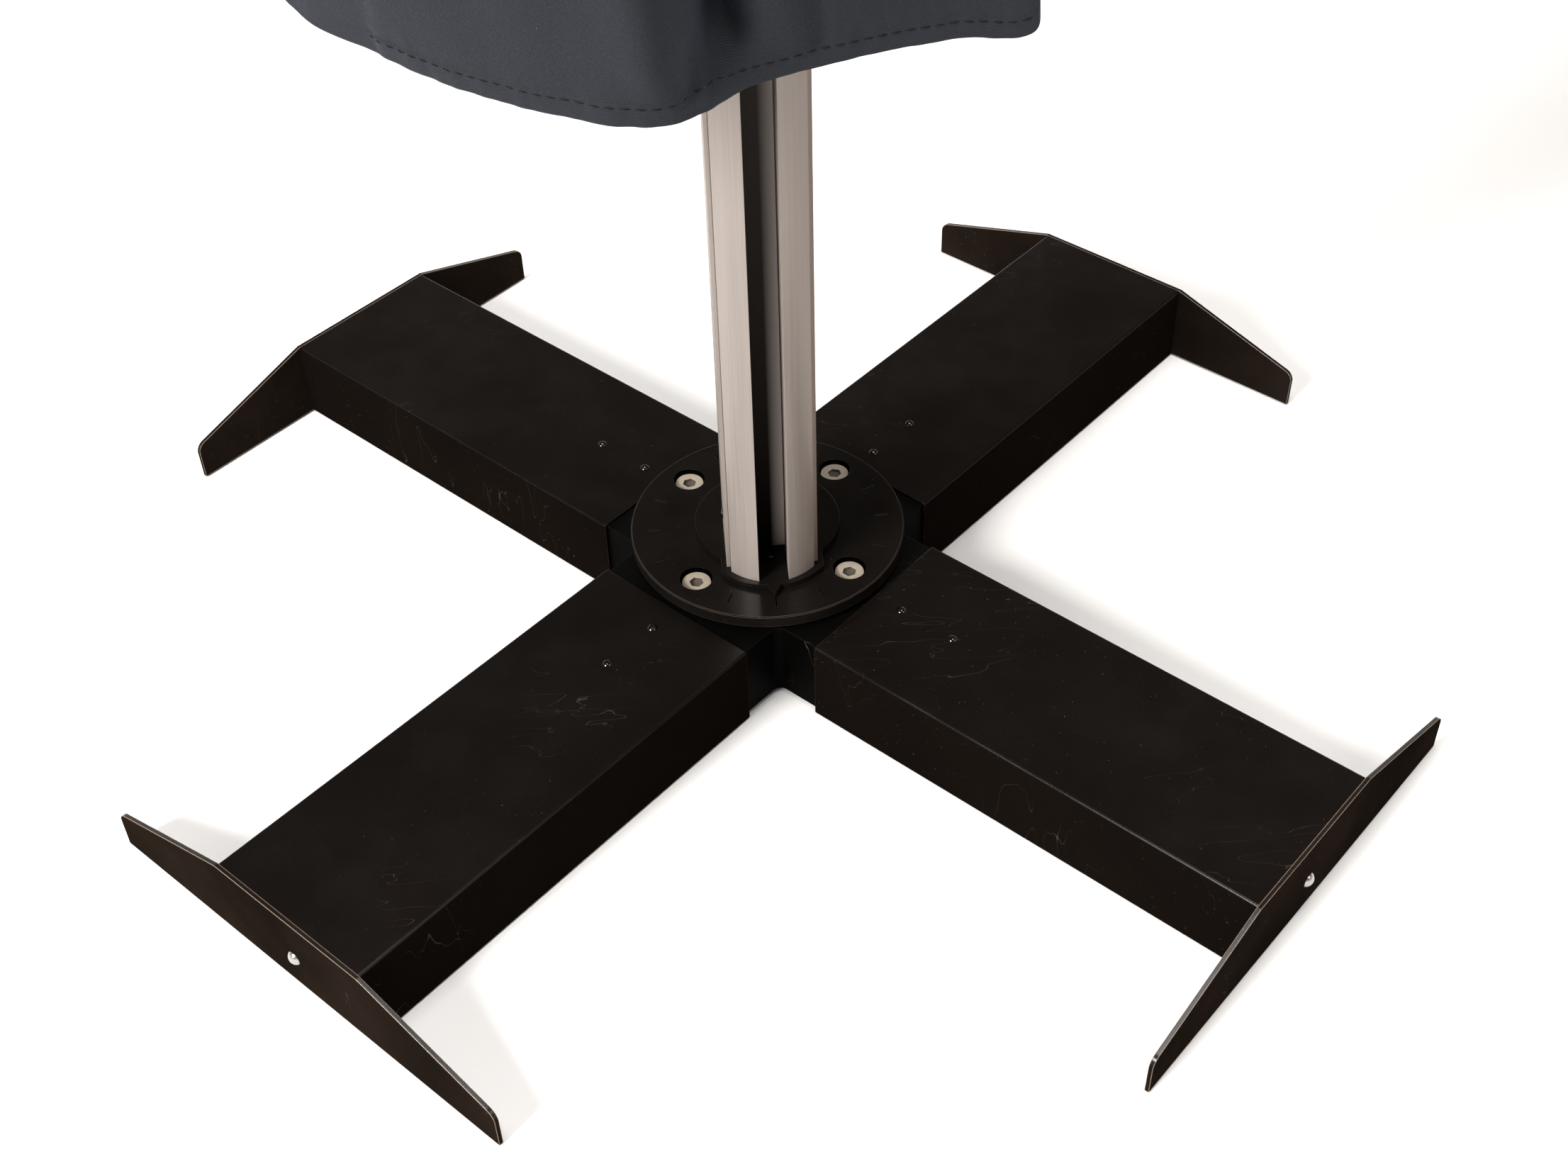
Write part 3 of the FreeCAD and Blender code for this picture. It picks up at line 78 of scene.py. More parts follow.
class Finish:
    """One material and the few kinds of node that the finishes here are made of."""

    def __init__(self, name, **sockets):
        self.material = bpy.data.materials.new(name)
        self.material.use_nodes = True
        self.tree = self.material.node_tree
        self.shader = self.tree.nodes["Principled BSDF"]
        for socket, value in sockets.items():
            self.shader.inputs[socket.replace("_", " ")].default_value = value
        self.place = self.node("ShaderNodeTexCoord").outputs["Object"]
        self.normal = None

    def node(self, kind, **settings):
        made = self.tree.nodes.new(kind)
        for key, value in settings.items():
            setattr(made, key, value)
        return made

    def link(self, source, socket):
        if isinstance(source, (int, float, tuple)):
            socket.default_value = source
        else:
            self.tree.links.new(source, socket)

    def spot(self, stretch=(1, 1, 1), turned=0.0):
        mapping = self.node("ShaderNodeMapping")
        self.link(self.place, mapping.inputs["Vector"])
        mapping.inputs["Scale"].default_value = stretch
        mapping.inputs["Rotation"].default_value = (0, 0, turned)
        return mapping.outputs["Vector"]

    def noise(self, scale, detail=3.0, stretch=(1, 1, 1), turned=0.0, twist=0.0):
        made = self.node("ShaderNodeTexNoise")
        self.link(self.spot(stretch, turned), made.inputs["Vector"])
        made.inputs["Scale"].default_value = scale
        made.inputs["Detail"].default_value = detail
        made.inputs["Distortion"].default_value = twist
        return made.outputs["Fac"]

    def band(self, value, low, high, first=0.0, last=1.0):
        made = self.node("ShaderNodeMapRange", clamp=True)
        self.link(value, made.inputs["Value"])
        for socket, number in zip(("From Min", "From Max", "To Min", "To Max"), (low, high, first, last)):
            made.inputs[socket].default_value = number
        return made.outputs["Result"]

    def math(self, operation, first, second=0.0):
        made = self.node("ShaderNodeMath", operation=operation)
        self.link(first, made.inputs[0])
        self.link(second, made.inputs[1])
        return made.outputs[0]

    def blend(self, share, first, second):
        made = self.node("ShaderNodeMix", data_type="RGBA")
        self.link(share, made.inputs[0])
        self.link(first, made.inputs[6])
        self.link(second, made.inputs[7])
        return made.outputs[2]

    def axis(self, source, name):
        made = self.node("ShaderNodeSeparateXYZ")
        self.link(source, made.inputs[0])
        return made.outputs[name]

    def facing_up(self):
        return self.axis(self.node("ShaderNodeNewGeometry").outputs["Normal"], "Z")

    def rounded(self, radius):
        made = self.node("ShaderNodeBevel", samples=6)
        made.inputs["Radius"].default_value = radius
        self.normal = made.outputs["Normal"]
        return self.normal

    def edge(self, radius, low=0.02, high=0.2):
        soft = self.node("ShaderNodeBevel", samples=6)
        soft.inputs["Radius"].default_value = radius
        dot = self.node("ShaderNodeVectorMath", operation="DOT_PRODUCT")
        self.link(soft.outputs["Normal"], dot.inputs[0])
        self.link(self.node("ShaderNodeNewGeometry").outputs["Normal"], dot.inputs[1])
        return self.band(dot.outputs["Value"], 1.0 - low, 1.0 - high)

    def scratches(self, scale=9.0, width=0.0022, turned=0.3, stretch=(1, 5, 1)):
        line = self.math("ABSOLUTE", self.math("SUBTRACT", self.noise(scale, 2.0, stretch, turned, 0.3), 0.5))
        thin = self.band(line, 0.0, width, 1.0, 0.0)
        where = self.band(self.noise(scale * 0.8, 1.0), 0.56, 0.62)
        return self.math("MULTIPLY", thin, where)

    def bump(self, height, distance, strength=1.0):
        made = self.node("ShaderNodeBump")
        made.inputs["Distance"].default_value = distance
        made.inputs["Strength"].default_value = strength
        self.link(height, made.inputs["Height"])
        if self.normal is not None:
            self.link(self.normal, made.inputs["Normal"])
        self.normal = made.outputs["Normal"]

    def done(self, colour=None, roughness=None):
        if colour is not None:
            self.link(colour, self.shader.inputs["Base Color"])
        if roughness is not None:
            self.link(roughness, self.shader.inputs["Roughness"])
        if self.normal is not None:
            self.link(self.normal, self.shader.inputs["Normal"])
        return self.material


def rgb(red, green, blue):
    return (red, green, blue, 1.0)


def powder_coat(
    name, colour, rough, dusty, edge_wear_and_highlight, side_gloss, gloss=0.5, edge_share=0.6, mottled=0.75, edge_width=0.0014
):
    """Black powder coat: orange peel, dust, fine scratches and paler edges, painted both as wear and as an
    edge highlight.
    """
    f = Finish(name)
    f.rounded(0.0012)
    mottle = f.noise(7.0, 5.0)
    tint = f.blend(f.band(mottle, 0.3, 0.7), tuple(c * mottled for c in colour[:3]) + (1.0,), colour)
    dust = f.band(f.noise(420.0, 2.0), 0.72, 0.80, 0.0, dusty)
    patches = f.band(f.noise(5.0, 3.0), 0.42, 0.62)
    tint = f.blend(f.math("MULTIPLY", dust, patches), tint, rgb(0.16, 0.145, 0.13))
    tint = f.blend(f.math("MULTIPLY", f.scratches(), 0.35), tint, rgb(0.10, 0.085, 0.075))
    # Paler edges: partly wear, partly a painted highlight along the edges.
    tint = f.blend(f.math("MULTIPLY", f.edge(edge_width), edge_share), tint, edge_wear_and_highlight)
    f.bump(f.noise(900.0, 2.0), 0.00006, 0.6)
    f.bump(f.noise(22.0, 3.0), 0.0006, 0.25)
    gloss_share = f.band(f.facing_up(), 0.3, 0.9, side_gloss, gloss)
    f.link(gloss_share, f.shader.inputs["Specular IOR Level"])
    return f.done(tint, f.band(f.noise(16.0, 5.0), 0.3, 0.7, rough - 0.07, rough + 0.09))


def brushed_metal(name, colour, rough, stretch, metallic=1.0, fine=0.05):
    """Metal with fine lines along one axis, faint stains and bright edges."""
    f = Finish(name, Metallic=metallic)
    f.rounded(0.0006)
    lines = f.noise(60.0, 4.0, stretch)
    dark = tuple(c * 0.82 for c in colour[:3]) + (1.0,)
    tint = f.blend(f.band(lines, 0.3, 0.7), dark, colour)
    stained = tuple(c * 0.6 for c in colour[:3]) + (1.0,)
    tint = f.blend(f.band(f.noise(11.0, 4.0), 0.5, 0.75, 0.0, 0.25), tint, stained)
    f.bump(lines, 0.0001, 0.35)
    return f.done(tint, f.band(lines, 0.25, 0.75, rough - fine, rough + fine))


def moulded(name, colour, rough, grain=700.0, depth=0.00012):
    """Moulded plastic or rubber with a fine grain."""
    f = Finish(name)
    f.rounded(0.0008)
    tint = f.blend(f.band(f.noise(30.0, 4.0), 0.3, 0.7), tuple(c * 0.8 for c in colour[:3]) + (1.0,), colour)
    f.bump(f.noise(grain, 3.0), depth, 0.5)
    return f.done(tint, f.band(f.noise(60.0, 3.0), 0.3, 0.7, rough - 0.06, rough + 0.06))


def mast_finish():
    """Warm grey anodised extrusion: die lines along the mast, painted shade on its right cheek and towards
    its top, channel walls painted darker with depth as shade, and a channel floor painted near black as
    shadow on the left and pale as light on the right.
    """
    f = Finish("mast_aluminium_finish")
    f.rounded(0.0008)
    lines = f.noise(30.0, 5.0, (22, 22, 0.25))
    tint = f.blend(f.band(lines, 0.3, 0.7), rgb(0.315, 0.276, 0.25), rgb(0.365, 0.322, 0.295))
    marks = f.band(f.noise(160.0, 2.0, (1, 1, 0.3)), 0.70, 0.78, 0.0, 0.18)
    tint = f.blend(marks, tint, rgb(0.20, 0.17, 0.15))
    x = f.axis(f.place, "X")
    y = f.axis(f.place, "Y")
    # Painted shade: the right cheek is darkened, as if the light came from the left.
    shade = f.band(x, 0.0, 0.040, 0.0, 0.48)
    tint = f.blend(shade, tint, rgb(0.155, 0.105, 0.075))
    inside = f.band(f.math("ABSOLUTE", x), 0.0142, 0.0148, 1.0, 0.0)
    # Painted shade: the channel walls are darkened deeper into the channel.
    deep = f.band(y, -0.088, -0.050, 0.05, 0.45)
    tint = f.blend(f.math("MULTIPLY", inside, deep), tint, rgb(0.016, 0.010, 0.008))
    floor_only = f.math("MULTIPLY", inside, f.band(y, -0.0415, -0.0405))
    # Painted shadow and light: the channel floor is near black on the left, as if shadowed by the left cheek,
    # and pale grey on the right, as if lit.
    floor_shadow_and_light = f.blend(f.band(x, 0.001, 0.014), rgb(0.003, 0.002, 0.0015), rgb(0.56, 0.50, 0.47))
    shine = f.math("SUBTRACT", 1.0, inside)
    f.link(f.math("MULTIPLY", shine, 0.35), f.shader.inputs["Metallic"])
    f.link(f.math("MULTIPLY", shine, 0.45), f.shader.inputs["Specular IOR Level"])
    tint = f.blend(floor_only, tint, floor_shadow_and_light)
    # Painted shade: the mast is darkened towards its top.
    low = f.band(f.axis(f.place, "Z"), 0.12, 0.75, 0.0, 0.48)
    tint = f.blend(low, tint, rgb(0.15, 0.128, 0.115))
    f.bump(lines, 0.00012, 0.25)
    return f.done(tint, f.band(lines, 0.3, 0.7, 0.34, 0.44))


def channel_floor_finish():
    """The rear tube: the same grey outside, painted shade along its right side, and painted near-black shadow
    where it closes the channel.
    """
    f = Finish("mast_rear_finish", Metallic=0.35, Specular_IOR_Level=0.3)
    f.rounded(0.0008)
    lines = f.noise(30.0, 5.0, (22, 22, 0.25))
    tint = f.blend(f.band(lines, 0.3, 0.7), rgb(0.27, 0.235, 0.21), rgb(0.34, 0.30, 0.275))
    # Painted shade: the right side of the tube is darkened.
    side = f.band(f.axis(f.place, "X"), 0.036, 0.0425)
    tint = f.blend(f.math("MULTIPLY", side, 0.75), tint, rgb(0.16, 0.10, 0.07))
    x = f.math("ABSOLUTE", f.axis(f.place, "X"))
    middle = f.band(x, 0.016, 0.02, 1.0, 0.0)
    front = f.band(f.axis(f.place, "Y"), -0.036, -0.034, 1.0, 0.0)
    # Painted shadow: where the tube closes the channel it is painted near black.
    tint = f.blend(f.math("MULTIPLY", middle, front), tint, rgb(0.006, 0.004, 0.003))
    f.bump(lines, 0.00012, 0.25)
    return f.done(tint, f.band(lines, 0.3, 0.7, 0.4, 0.5))


def dial_finish(name, side_gloss):
    """Gloss black enamel with fine dust, a rim edge painted paler as wear and as a highlight, and painted
    shade darkening the engraving and bolt pockets.
    """
    f = Finish(name)
    f.rounded(0.0009)
    cloudy = f.band(f.noise(14.0, 5.0), 0.35, 0.7)
    tint = f.blend(cloudy, rgb(0.0045, 0.0036, 0.003), rgb(0.008, 0.0064, 0.0053))
    dust = f.band(f.noise(500.0, 2.0), 0.73, 0.8, 0.0, 0.5)
    tint = f.blend(dust, tint, rgb(0.12, 0.10, 0.09))
    radius = f.node("ShaderNodeVectorMath", operation="LENGTH")
    f.link(f.spot((1, 1, 0)), radius.inputs[0])
    rim = f.band(radius.outputs["Value"], 0.129, 0.131)
    rim_highlight_and_wear = f.math("MULTIPLY", f.math("MULTIPLY", f.edge(0.0011), rim), 0.6)
    # Paler rim edge: a painted highlight as well as wear.
    tint = f.blend(rim_highlight_and_wear, tint, rgb(0.30, 0.25, 0.21))
    recess_shade = f.band(f.axis(f.place, "Z"), 0.10535, 0.10545, 1.0, 0.0)
    inside_rim = f.band(radius.outputs["Value"], 0.1295, 0.1305, 1.0, 0.0)
    # Painted shade: engraved ticks and bolt pockets below the dial face are painted near black.
    tint = f.blend(f.math("MULTIPLY", recess_shade, inside_rim), tint, rgb(0.001, 0.001, 0.001))
    f.bump(f.noise(30.0, 3.0), 0.0004, 0.2)
    flat = f.band(f.facing_up(), 0.3, 0.9, side_gloss, 0.2)
    f.link(f.math("MULTIPLY", flat, f.math("SUBTRACT", 1.0, recess_shade)), f.shader.inputs["Specular IOR Level"])
    return f.done(tint, f.band(f.noise(40.0, 4.0), 0.3, 0.7, 0.16, 0.26))


def bolt_finish(name, colour, rough, socket=None, shine=0.75):
    """Plated fastener: warm plating, painted shade darkening it below the given height in its socket, fine
    turning marks.
    """
    f = Finish(name, Metallic=shine)
    f.rounded(0.0006)
    stain = f.band(f.noise(90.0, 3.0), 0.5, 0.75, 0.0, 0.35)
    tint = f.blend(stain, colour, tuple(c * 0.6 for c in colour[:3]) + (1.0,))
    if socket is not None:
        # Painted shade: the bolt is darkened where it sits down in its socket.
        recess_shade = f.band(f.axis(f.place, "Z"), socket - 0.0004, socket, 0.85, 0.0)
        tint = f.blend(recess_shade, tint, rgb(0.05, 0.042, 0.035))
    f.bump(f.noise(900.0, 1.0), 0.00003, 0.3)
    return f.done(tint, f.band(f.noise(300.0, 2.0), 0.3, 0.7, rough - 0.06, rough + 0.08))


def cloth_finish():
    """Dark blue-grey ribbed polyester: horizontal ribs, crossing threads, sheen and faint lint."""
    f = Finish("sheet_cloth_finish", Sheen_Weight=0.10, Sheen_Roughness=0.4, Specular_IOR_Level=0.2)
    f.shader.inputs["Sheen Tint"].default_value = rgb(0.55, 0.65, 0.85)
    ribs = f.node("ShaderNodeTexWave", wave_type="BANDS", bands_direction="Z")
    f.link(f.spot((1, 1, 1)), ribs.inputs["Vector"])
    ribs.inputs["Scale"].default_value = 300.0
    ribs.inputs["Distortion"].default_value = 1.2
    ribs.inputs["Detail"].default_value = 2.0
    ribs.inputs["Detail Scale"].default_value = 6.0
    threads = f.noise(1300.0, 1.0, (1, 1, 0.35))
    weave = f.math("ADD", f.math("MULTIPLY", ribs.outputs["Fac"], 0.55), f.math("MULTIPLY", threads, 0.5))
    tint = f.blend(f.band(weave, 0.2, 1.0), rgb(0.0075, 0.0088, 0.0118), rgb(0.0205, 0.0232, 0.0305))
    tint = f.blend(f.band(f.noise(4.0, 4.0), 0.35, 0.7, 0.0, 0.35), tint, rgb(0.0085, 0.0088, 0.0115))
    lint = f.band(f.noise(650.0, 2.0), 0.745, 0.80, 0.0, 0.45)
    tint = f.blend(lint, tint, rgb(0.16, 0.15, 0.15))
    f.bump(weave, 0.00035, 0.7)
    f.bump(f.noise(38.0, 4.0, (1, 1, 0.5)), 0.0016, 0.35)
    return f.done(tint, f.band(weave, 0.2, 1.0, 0.86, 0.7))


def thread_finish():
    f = Finish("thread_finish", Specular_IOR_Level=0.1)
    tint = f.blend(f.noise(900.0, 2.0), rgb(0.004, 0.0022, 0.0022), rgb(0.016, 0.007, 0.006))
    f.bump(f.noise(2500.0, 1.0), 0.0002, 0.8)
    return f.done(tint, 0.7)


leg = powder_coat(
    "leg_finish", rgb(0.0056, 0.0041, 0.0033), 0.25, 0.8, rgb(0.13, 0.06, 0.035), 0.0, 0.26, 0.6, 0.75, 0.0009
)
plate = powder_coat(
    "plate_finish", rgb(0.015, 0.0105, 0.0078), 0.22, 0.9, rgb(0.42, 0.33, 0.27), 0.0, 0.4, 0.9, 0.35
)
core = powder_coat(
    "frame_finish", rgb(0.0012, 0.0011, 0.001), 0.5, 0.2, rgb(0.02, 0.015, 0.012), 0.01, 0.08, 0.3
)
dial = dial_finish("dial_finish", 0.03)
mast = mast_finish()
mast_tube = channel_floor_finish()
nickel = bolt_finish("nickel_finish", rgb(0.56, 0.49, 0.39), 0.36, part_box("dial_bolts")[1].z - 0.0003, 0.35)
zinc = bolt_finish("zinc_finish", rgb(0.42, 0.41, 0.39), 0.24, None, 0.9)
dark_screw = bolt_finish("dark_screw_finish", rgb(0.004, 0.0035, 0.003), 0.09, None, 0.0)
steel = brushed_metal("turned_steel_finish", rgb(0.50, 0.48, 0.45), 0.32, (1, 1, 18))
cast = brushed_metal("cast_finish", rgb(0.34, 0.33, 0.32), 0.55, (2, 2, 2), 0.8, 0.12)
post = brushed_metal("post_finish", rgb(0.42, 0.40, 0.385), 0.36, (16, 16, 0.3), 0.8)
rail = brushed_metal("rail_finish", rgb(0.60, 0.575, 0.55), 0.33, (14, 14, 1.5), 0.9)
satin = powder_coat(
    "head_finish", rgb(0.016, 0.015, 0.014), 0.42, 0.4, rgb(0.12, 0.11, 0.10), 0.35, 0.45, 0.5
)
plastic = moulded("plastic_finish", rgb(0.020, 0.019, 0.018), 0.45)
rubber = moulded("rubber_finish", rgb(0.028, 0.026, 0.025), 0.75, 500.0, 0.0002)
polymer = moulded("polymer_finish", rgb(0.52, 0.50, 0.44), 0.4)
cloth = cloth_finish()
thread = thread_finish()

FINISHES = {
    "leg_cover": leg,
    "end_plate": plate,
    "end_bracket": core,
    "centre_frame": core,
    "inner_pad": rubber,
    "outer_pad": rubber,
    "hub_plate": core,
    "dial_plate": dial,
    "turn_collar": dial,
    "dial_bolts": nickel,
    "end_plate_bolts": zinc,
    "end_plate_nuts": zinc,
    "leg_cover_screws": dark_screw,
    "mast_foot_screws": dark_screw,
    "arm_bolts": zinc,
    "foot_bolt": dark_screw,
    "mast_front": mast,
    "mast_rear": mast_tube,
    "mast_foot_plug": cast,
    "bearing_housing": steel,
    "lower_bush": polymer,
    "upper_bush": polymer,
    "slide_washer": polymer,
    "spindle_nut": steel,
    "spindle": steel,
    "retaining_washer": steel,
    "mast_head": satin,
    "upper_guide": plastic,
    "lower_guide": plastic,
    "clamp_shoe": plastic,
    "clamp_knob": plastic,
    "clamp_screw": steel,
    "inner_post": post,
    "stop_collar": satin,
    "arm_hub": satin,
    "hub_cap": plastic,
    "arm_stop": plastic,
    "arm": rail,
    "dust_sheet": cloth,
}
for node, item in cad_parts.items():
    key = max((k for k in FINISHES if node.startswith(k)), key=len)
    for place in item.material_slots:
        place.material = FINISHES[key]

# ---------------------------------------------------------------- dust sheet


def along(points, count):
    """Points evenly spaced along a smooth line through the given ones."""
    points = np.array(points, float)
    steps = np.concatenate([[0.0], np.cumsum(np.linalg.norm(np.diff(points, axis=0), axis=1))])
    slope = np.gradient(points, steps, axis=0)
    fine = np.linspace(0.0, steps[-1], 40 * len(points))
    cell = np.clip(np.searchsorted(steps, fine, side="right") - 1, 0, len(points) - 2)
    width = (steps[cell + 1] - steps[cell])[:, None]
    t = ((fine - steps[cell])[:, None]) / width
    curve = (
        (2 * t**3 - 3 * t**2 + 1) * points[cell]
        + (t**3 - 2 * t**2 + t) * width * slope[cell]
        + (3 * t**2 - 2 * t**3) * points[cell + 1]
        + (t**3 - t**2) * width * slope[cell + 1]
    )
    run = np.concatenate([[0.0], np.cumsum(np.linalg.norm(np.diff(curve, axis=0), axis=1))])
    even = np.linspace(0.0, run[-1], count)
    return np.stack([np.interp(even, run, curve[:, i]) for i in range(curve.shape[1])], axis=1)


def smooth(line, width):
    """The line with its short waves averaged out, ends kept."""
    kernel = np.hanning(width + 2)[1:-1]
    kernel /= kernel.sum()
    half = width // 2
    padded = np.concatenate([
        2 * line[:1] - line[half:0:-1],
        line,
        2 * line[-1:] - line[-2:-half - 2:-1],
    ])
    return np.stack([np.convolve(padded[:, i], kernel, "valid") for i in range(line.shape[1])], axis=1)


def ease(value, low, high):
    t = np.clip((value - low) / (high - low), 0.0, 1.0)
    return t * t * (3 - 2 * t)


# Columns of the sheet's grid, its rows over the arms and its rows down the hanging part.
AROUND = 560
OVER = 34
DOWN = 150
EDGE_RUN = 1.35  # way round the top edge in metres, which spaces the creases
STITCH_HEIGHT = 0.012  # the seam above the hem
FLOOR_SIDES = 120
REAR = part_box("dust_sheet")[1].y
RAIL_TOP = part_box("arm_front_left")[1].z
STOP_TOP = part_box("arm_stop_front_left")[1].z
EDGE = [
    (-0.110, REAR),
    (-0.190, -0.168),
    (-0.270, -0.248),
    (-0.325, -0.304),
    (-0.334, -0.322),
    (-0.314, -0.330),
    (-0.200, -0.3285),
    (0.0, -0.3265),
    (0.200, -0.3285),
    (0.314, -0.330),
    (0.334, -0.322),
    (0.325, -0.304),
    (0.270, -0.248),
    (0.190, -0.168),
    (0.110, REAR),
]
HEM = [
    (-0.122, -0.096, 0.778),
    (-0.178, -0.115, 0.770),
    (-0.240, -0.134, 0.777),
    (-0.298, -0.150, 0.772),
    (-0.322, -0.174, 0.768),
    (-0.309, -0.200, 0.762),
    (-0.261, -0.250, 0.760),
    (-0.223, -0.287, 0.760),
    (-0.177, -0.324, 0.760),
    (-0.132, -0.351, 0.760),
    (-0.095, -0.366, 0.760),
    (-0.070, -0.367, 0.760),
    (-0.050, -0.355, 0.760),
    (-0.017, -0.325, 0.760),
    (0.020, -0.309, 0.760),
    (0.073, -0.290, 0.760),
    (0.120, -0.279, 0.760),
    (0.174, -0.272, 0.760),
    (0.175, -0.257, 0.795),
    (0.200, -0.266, 0.822),
    (0.245, -0.296, 0.838),
    (0.300, -0.328, 0.848),
    (0.334, -0.305, 0.845),
    (0.300, -0.258, 0.825),
    (0.252, -0.238, 0.805),
    (0.222, -0.190, 0.785),
    (0.172, -0.160, 0.780),
    (0.122, -0.098, 0.775),
]
edge_line = along(EDGE, AROUND)
hem_line = along(HEM, AROUND)
hem_soft = smooth(hem_line, 181)
share = np.linspace(0.0, 1.0, AROUND)
tangent = np.gradient(smooth(edge_line, 41), axis=0)
tangent /= np.linalg.norm(tangent, axis=1)[:, None]
outward = np.stack([tangent[:, 1], -tangent[:, 0]], axis=1)


def top_height(x, y):
    """Height of the cloth over the two arms: on the rails, sagging between them, rolling off outside."""
    reach = np.maximum(np.abs(y), 1e-6)
    along_arm = (np.abs(x) + np.abs(y)) / math.sqrt(2)
    beside = (np.abs(x) - np.abs(y)) / math.sqrt(2)
    height = RAIL_TOP + 0.0014 + (STOP_TOP - RAIL_TOP + 0.001) * ease(along_arm, 0.405, 0.428)
    beyond = np.maximum(along_arm - 0.441, 0.0)
    inner = np.clip(-beside - 0.006, 0.0, None)
    sag = 0.13 * reach * (1 - np.clip(np.abs(x) / reach, 0, 1) ** 2) * ease(inner, 0.0, 0.05)
    roll = 18.0 * np.maximum(beside - 0.007, 0.0) ** 2 / 0.36 + 30.0 * beyond**2
    return height - sag - np.minimum(roll, 0.03)


def fold_waves(u, v):
    """Soft folds that open towards the hem, left out of the front hem, which has its own."""
    waves = (
        0.45 * np.sin(2 * np.pi * (11.3 * u + 0.5 * np.sin(2 * np.pi * 2.1 * u)) + 0.6)
        + 0.30 * np.sin(2 * np.pi * (19.7 * u + 0.35 * np.sin(2 * np.pi * 3.7 * u)) + 1.9 + 1.4 * v)
        + 0.25 * np.sin(2 * np.pi * 5.2 * u + 2.6 - 1.1 * v)
    )
    front = ease(u, 0.20, 0.26) * (1 - ease(u, 0.64, 0.70))
    return 0.011 * waves * ease(v, 0.02, 0.75) * (1 - front * ease(v, 0.62, 0.97))


# Creases of the front panel: where along the hem, half width, depth, and the heights above the hem
# at which each is deepest and ends.
CREASES = [
    (-0.033, 0.016, 0.046, 0.045, 0.420),
    (-0.052, 0.006, 0.008, 0.014, 0.055),
    (-0.040, 0.005, 0.007, 0.012, 0.080),
    (-0.078, 0.022, -0.015, 0.050, 0.420),
    (0.010, 0.016, -0.004, 0.040, 0.300),
    (0.030, 0.007, 0.0035, 0.018, 0.110),
    (-0.190, 0.030, 0.008, 0.080, 0.400),
    (0.110, 0.030, 0.008, 0.070, 0.360),
]


def sheet_point(i, v):
    """Point on the hanging part, v from 0 at the arms to 1 at the hem."""
    u = share[i]
    x, y = edge_line[i]
    start = top_height(x, y)
    soft = hem_soft[i]
    fold = hem_line[i] - soft
    spread = ease(v, 0.0, 1.25) / ease(1.0, 0.0, 1.25)
    opening = v**1.7
    px = x + (soft[0] - x) * spread + fold[0] * opening
    py = y + (soft[1] - y) * spread + fold[1] * opening
    pz = start + (hem_line[i][2] - start) * v
    push = float(fold_waves(u, v))
    run = u * EDGE_RUN
    crease = noise.noise(Vector((run * 9.0 + pz * 2.2, pz * 3.1, 3.7)))
    fine = noise.noise(Vector((run * 26.0 - pz * 7.0, pz * 9.0, 8.1)))
    push += 0.0050 * crease * ease(v, 0.03, 0.3) * (1 - 0.6 * ease(v, 0.9, 1.0))
    push += 0.0016 * fine * ease(v, 0.03, 0.25)
    from_hem = (1.0 - v) * (start - hem_line[i][2])
    pucker = noise.noise(Vector((run * 95.0, from_hem * 40.0, 1.3)))
    push += 0.0011 * pucker * (1 - ease(from_hem, 0.012, 0.035))
    push += 0.0007 * (1 - ease(from_hem, 0.0135, 0.0150))
    for middle, wide, deep, low, high in CREASES:
        if hem_line[i][1] > -0.26:
            continue
        away = (hem_line[i][0] - middle) / wide
        height_share = float(ease(from_hem, 0.004, low)) * float(1 - ease(from_hem, low, high))
        push -= deep * math.exp(-away * away) * height_share
    normal = outward[i]
    return (px + normal[0] * push, py + normal[1] * push, pz)


def down_steps():
    """Rows of the hanging part, closer together by the hem."""
    main = np.linspace(0.0, 0.955, DOWN - 26)
    return np.concatenate([main, np.linspace(0.955, 1.0, 27)[1:]])


def build_sheet():
    points = []
    pole = (0.0, REAR)
    rows = []
    for k in np.linspace(0.0, 1.0, OVER)[1:]:
        x = pole[0] + (edge_line[:, 0] - pole[0]) * k
        y = pole[1] + (edge_line[:, 1] - pole[1]) * k
        z = top_height(x, y)
        ripple = np.array([noise.noise(Vector((a * 16.0, b * 11.0, 5.5))) for a, b in zip(x, y)])
        inner = np.clip((np.abs(y) - np.abs(x)) / math.sqrt(2) - 0.012, 0.0, None)
        z = z + 0.006 * ripple * ease(inner, 0.0, 0.05)
        rows.append(np.stack([x, y, z], axis=1))
    for v in down_steps()[1:]:
        rows.append(np.array([sheet_point(i, v) for i in range(AROUND)]))
    points.append((pole[0], pole[1], float(top_height(np.array(0.0), np.array(REAR)))))
    for row in rows:
        points.extend(map(tuple, row))
    faces = [(0, 1 + i, 2 + i) for i in range(AROUND - 1)]
    for r in range(len(rows) - 1):
        first = 1 + r * AROUND
        second = first + AROUND
        for i in range(AROUND - 1):
            faces.append((first + i, second + i, second + i + 1, first + i + 1))
    return points, faces


def add_mesh(name, points, faces, material):
    mesh = bpy.data.meshes.new(name)
    mesh.from_pydata([tuple(map(float, p)) for p in points], [], faces)
    mesh.update()
    for face in mesh.polygons:
        face.use_smooth = True
    mesh.materials.append(material)
    item = bpy.data.objects.new(name, mesh)
    bpy.context.scene.collection.objects.link(item)
    return item


points, faces = build_sheet()
sheet = add_mesh("dust_sheet_cloth", points, faces, cloth)
thick = sheet.modifiers.new("thickness", "SOLIDIFY")
thick.thickness = 0.0009
thick.offset = 0.0
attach(sheet, "post")
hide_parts("dust_sheet")


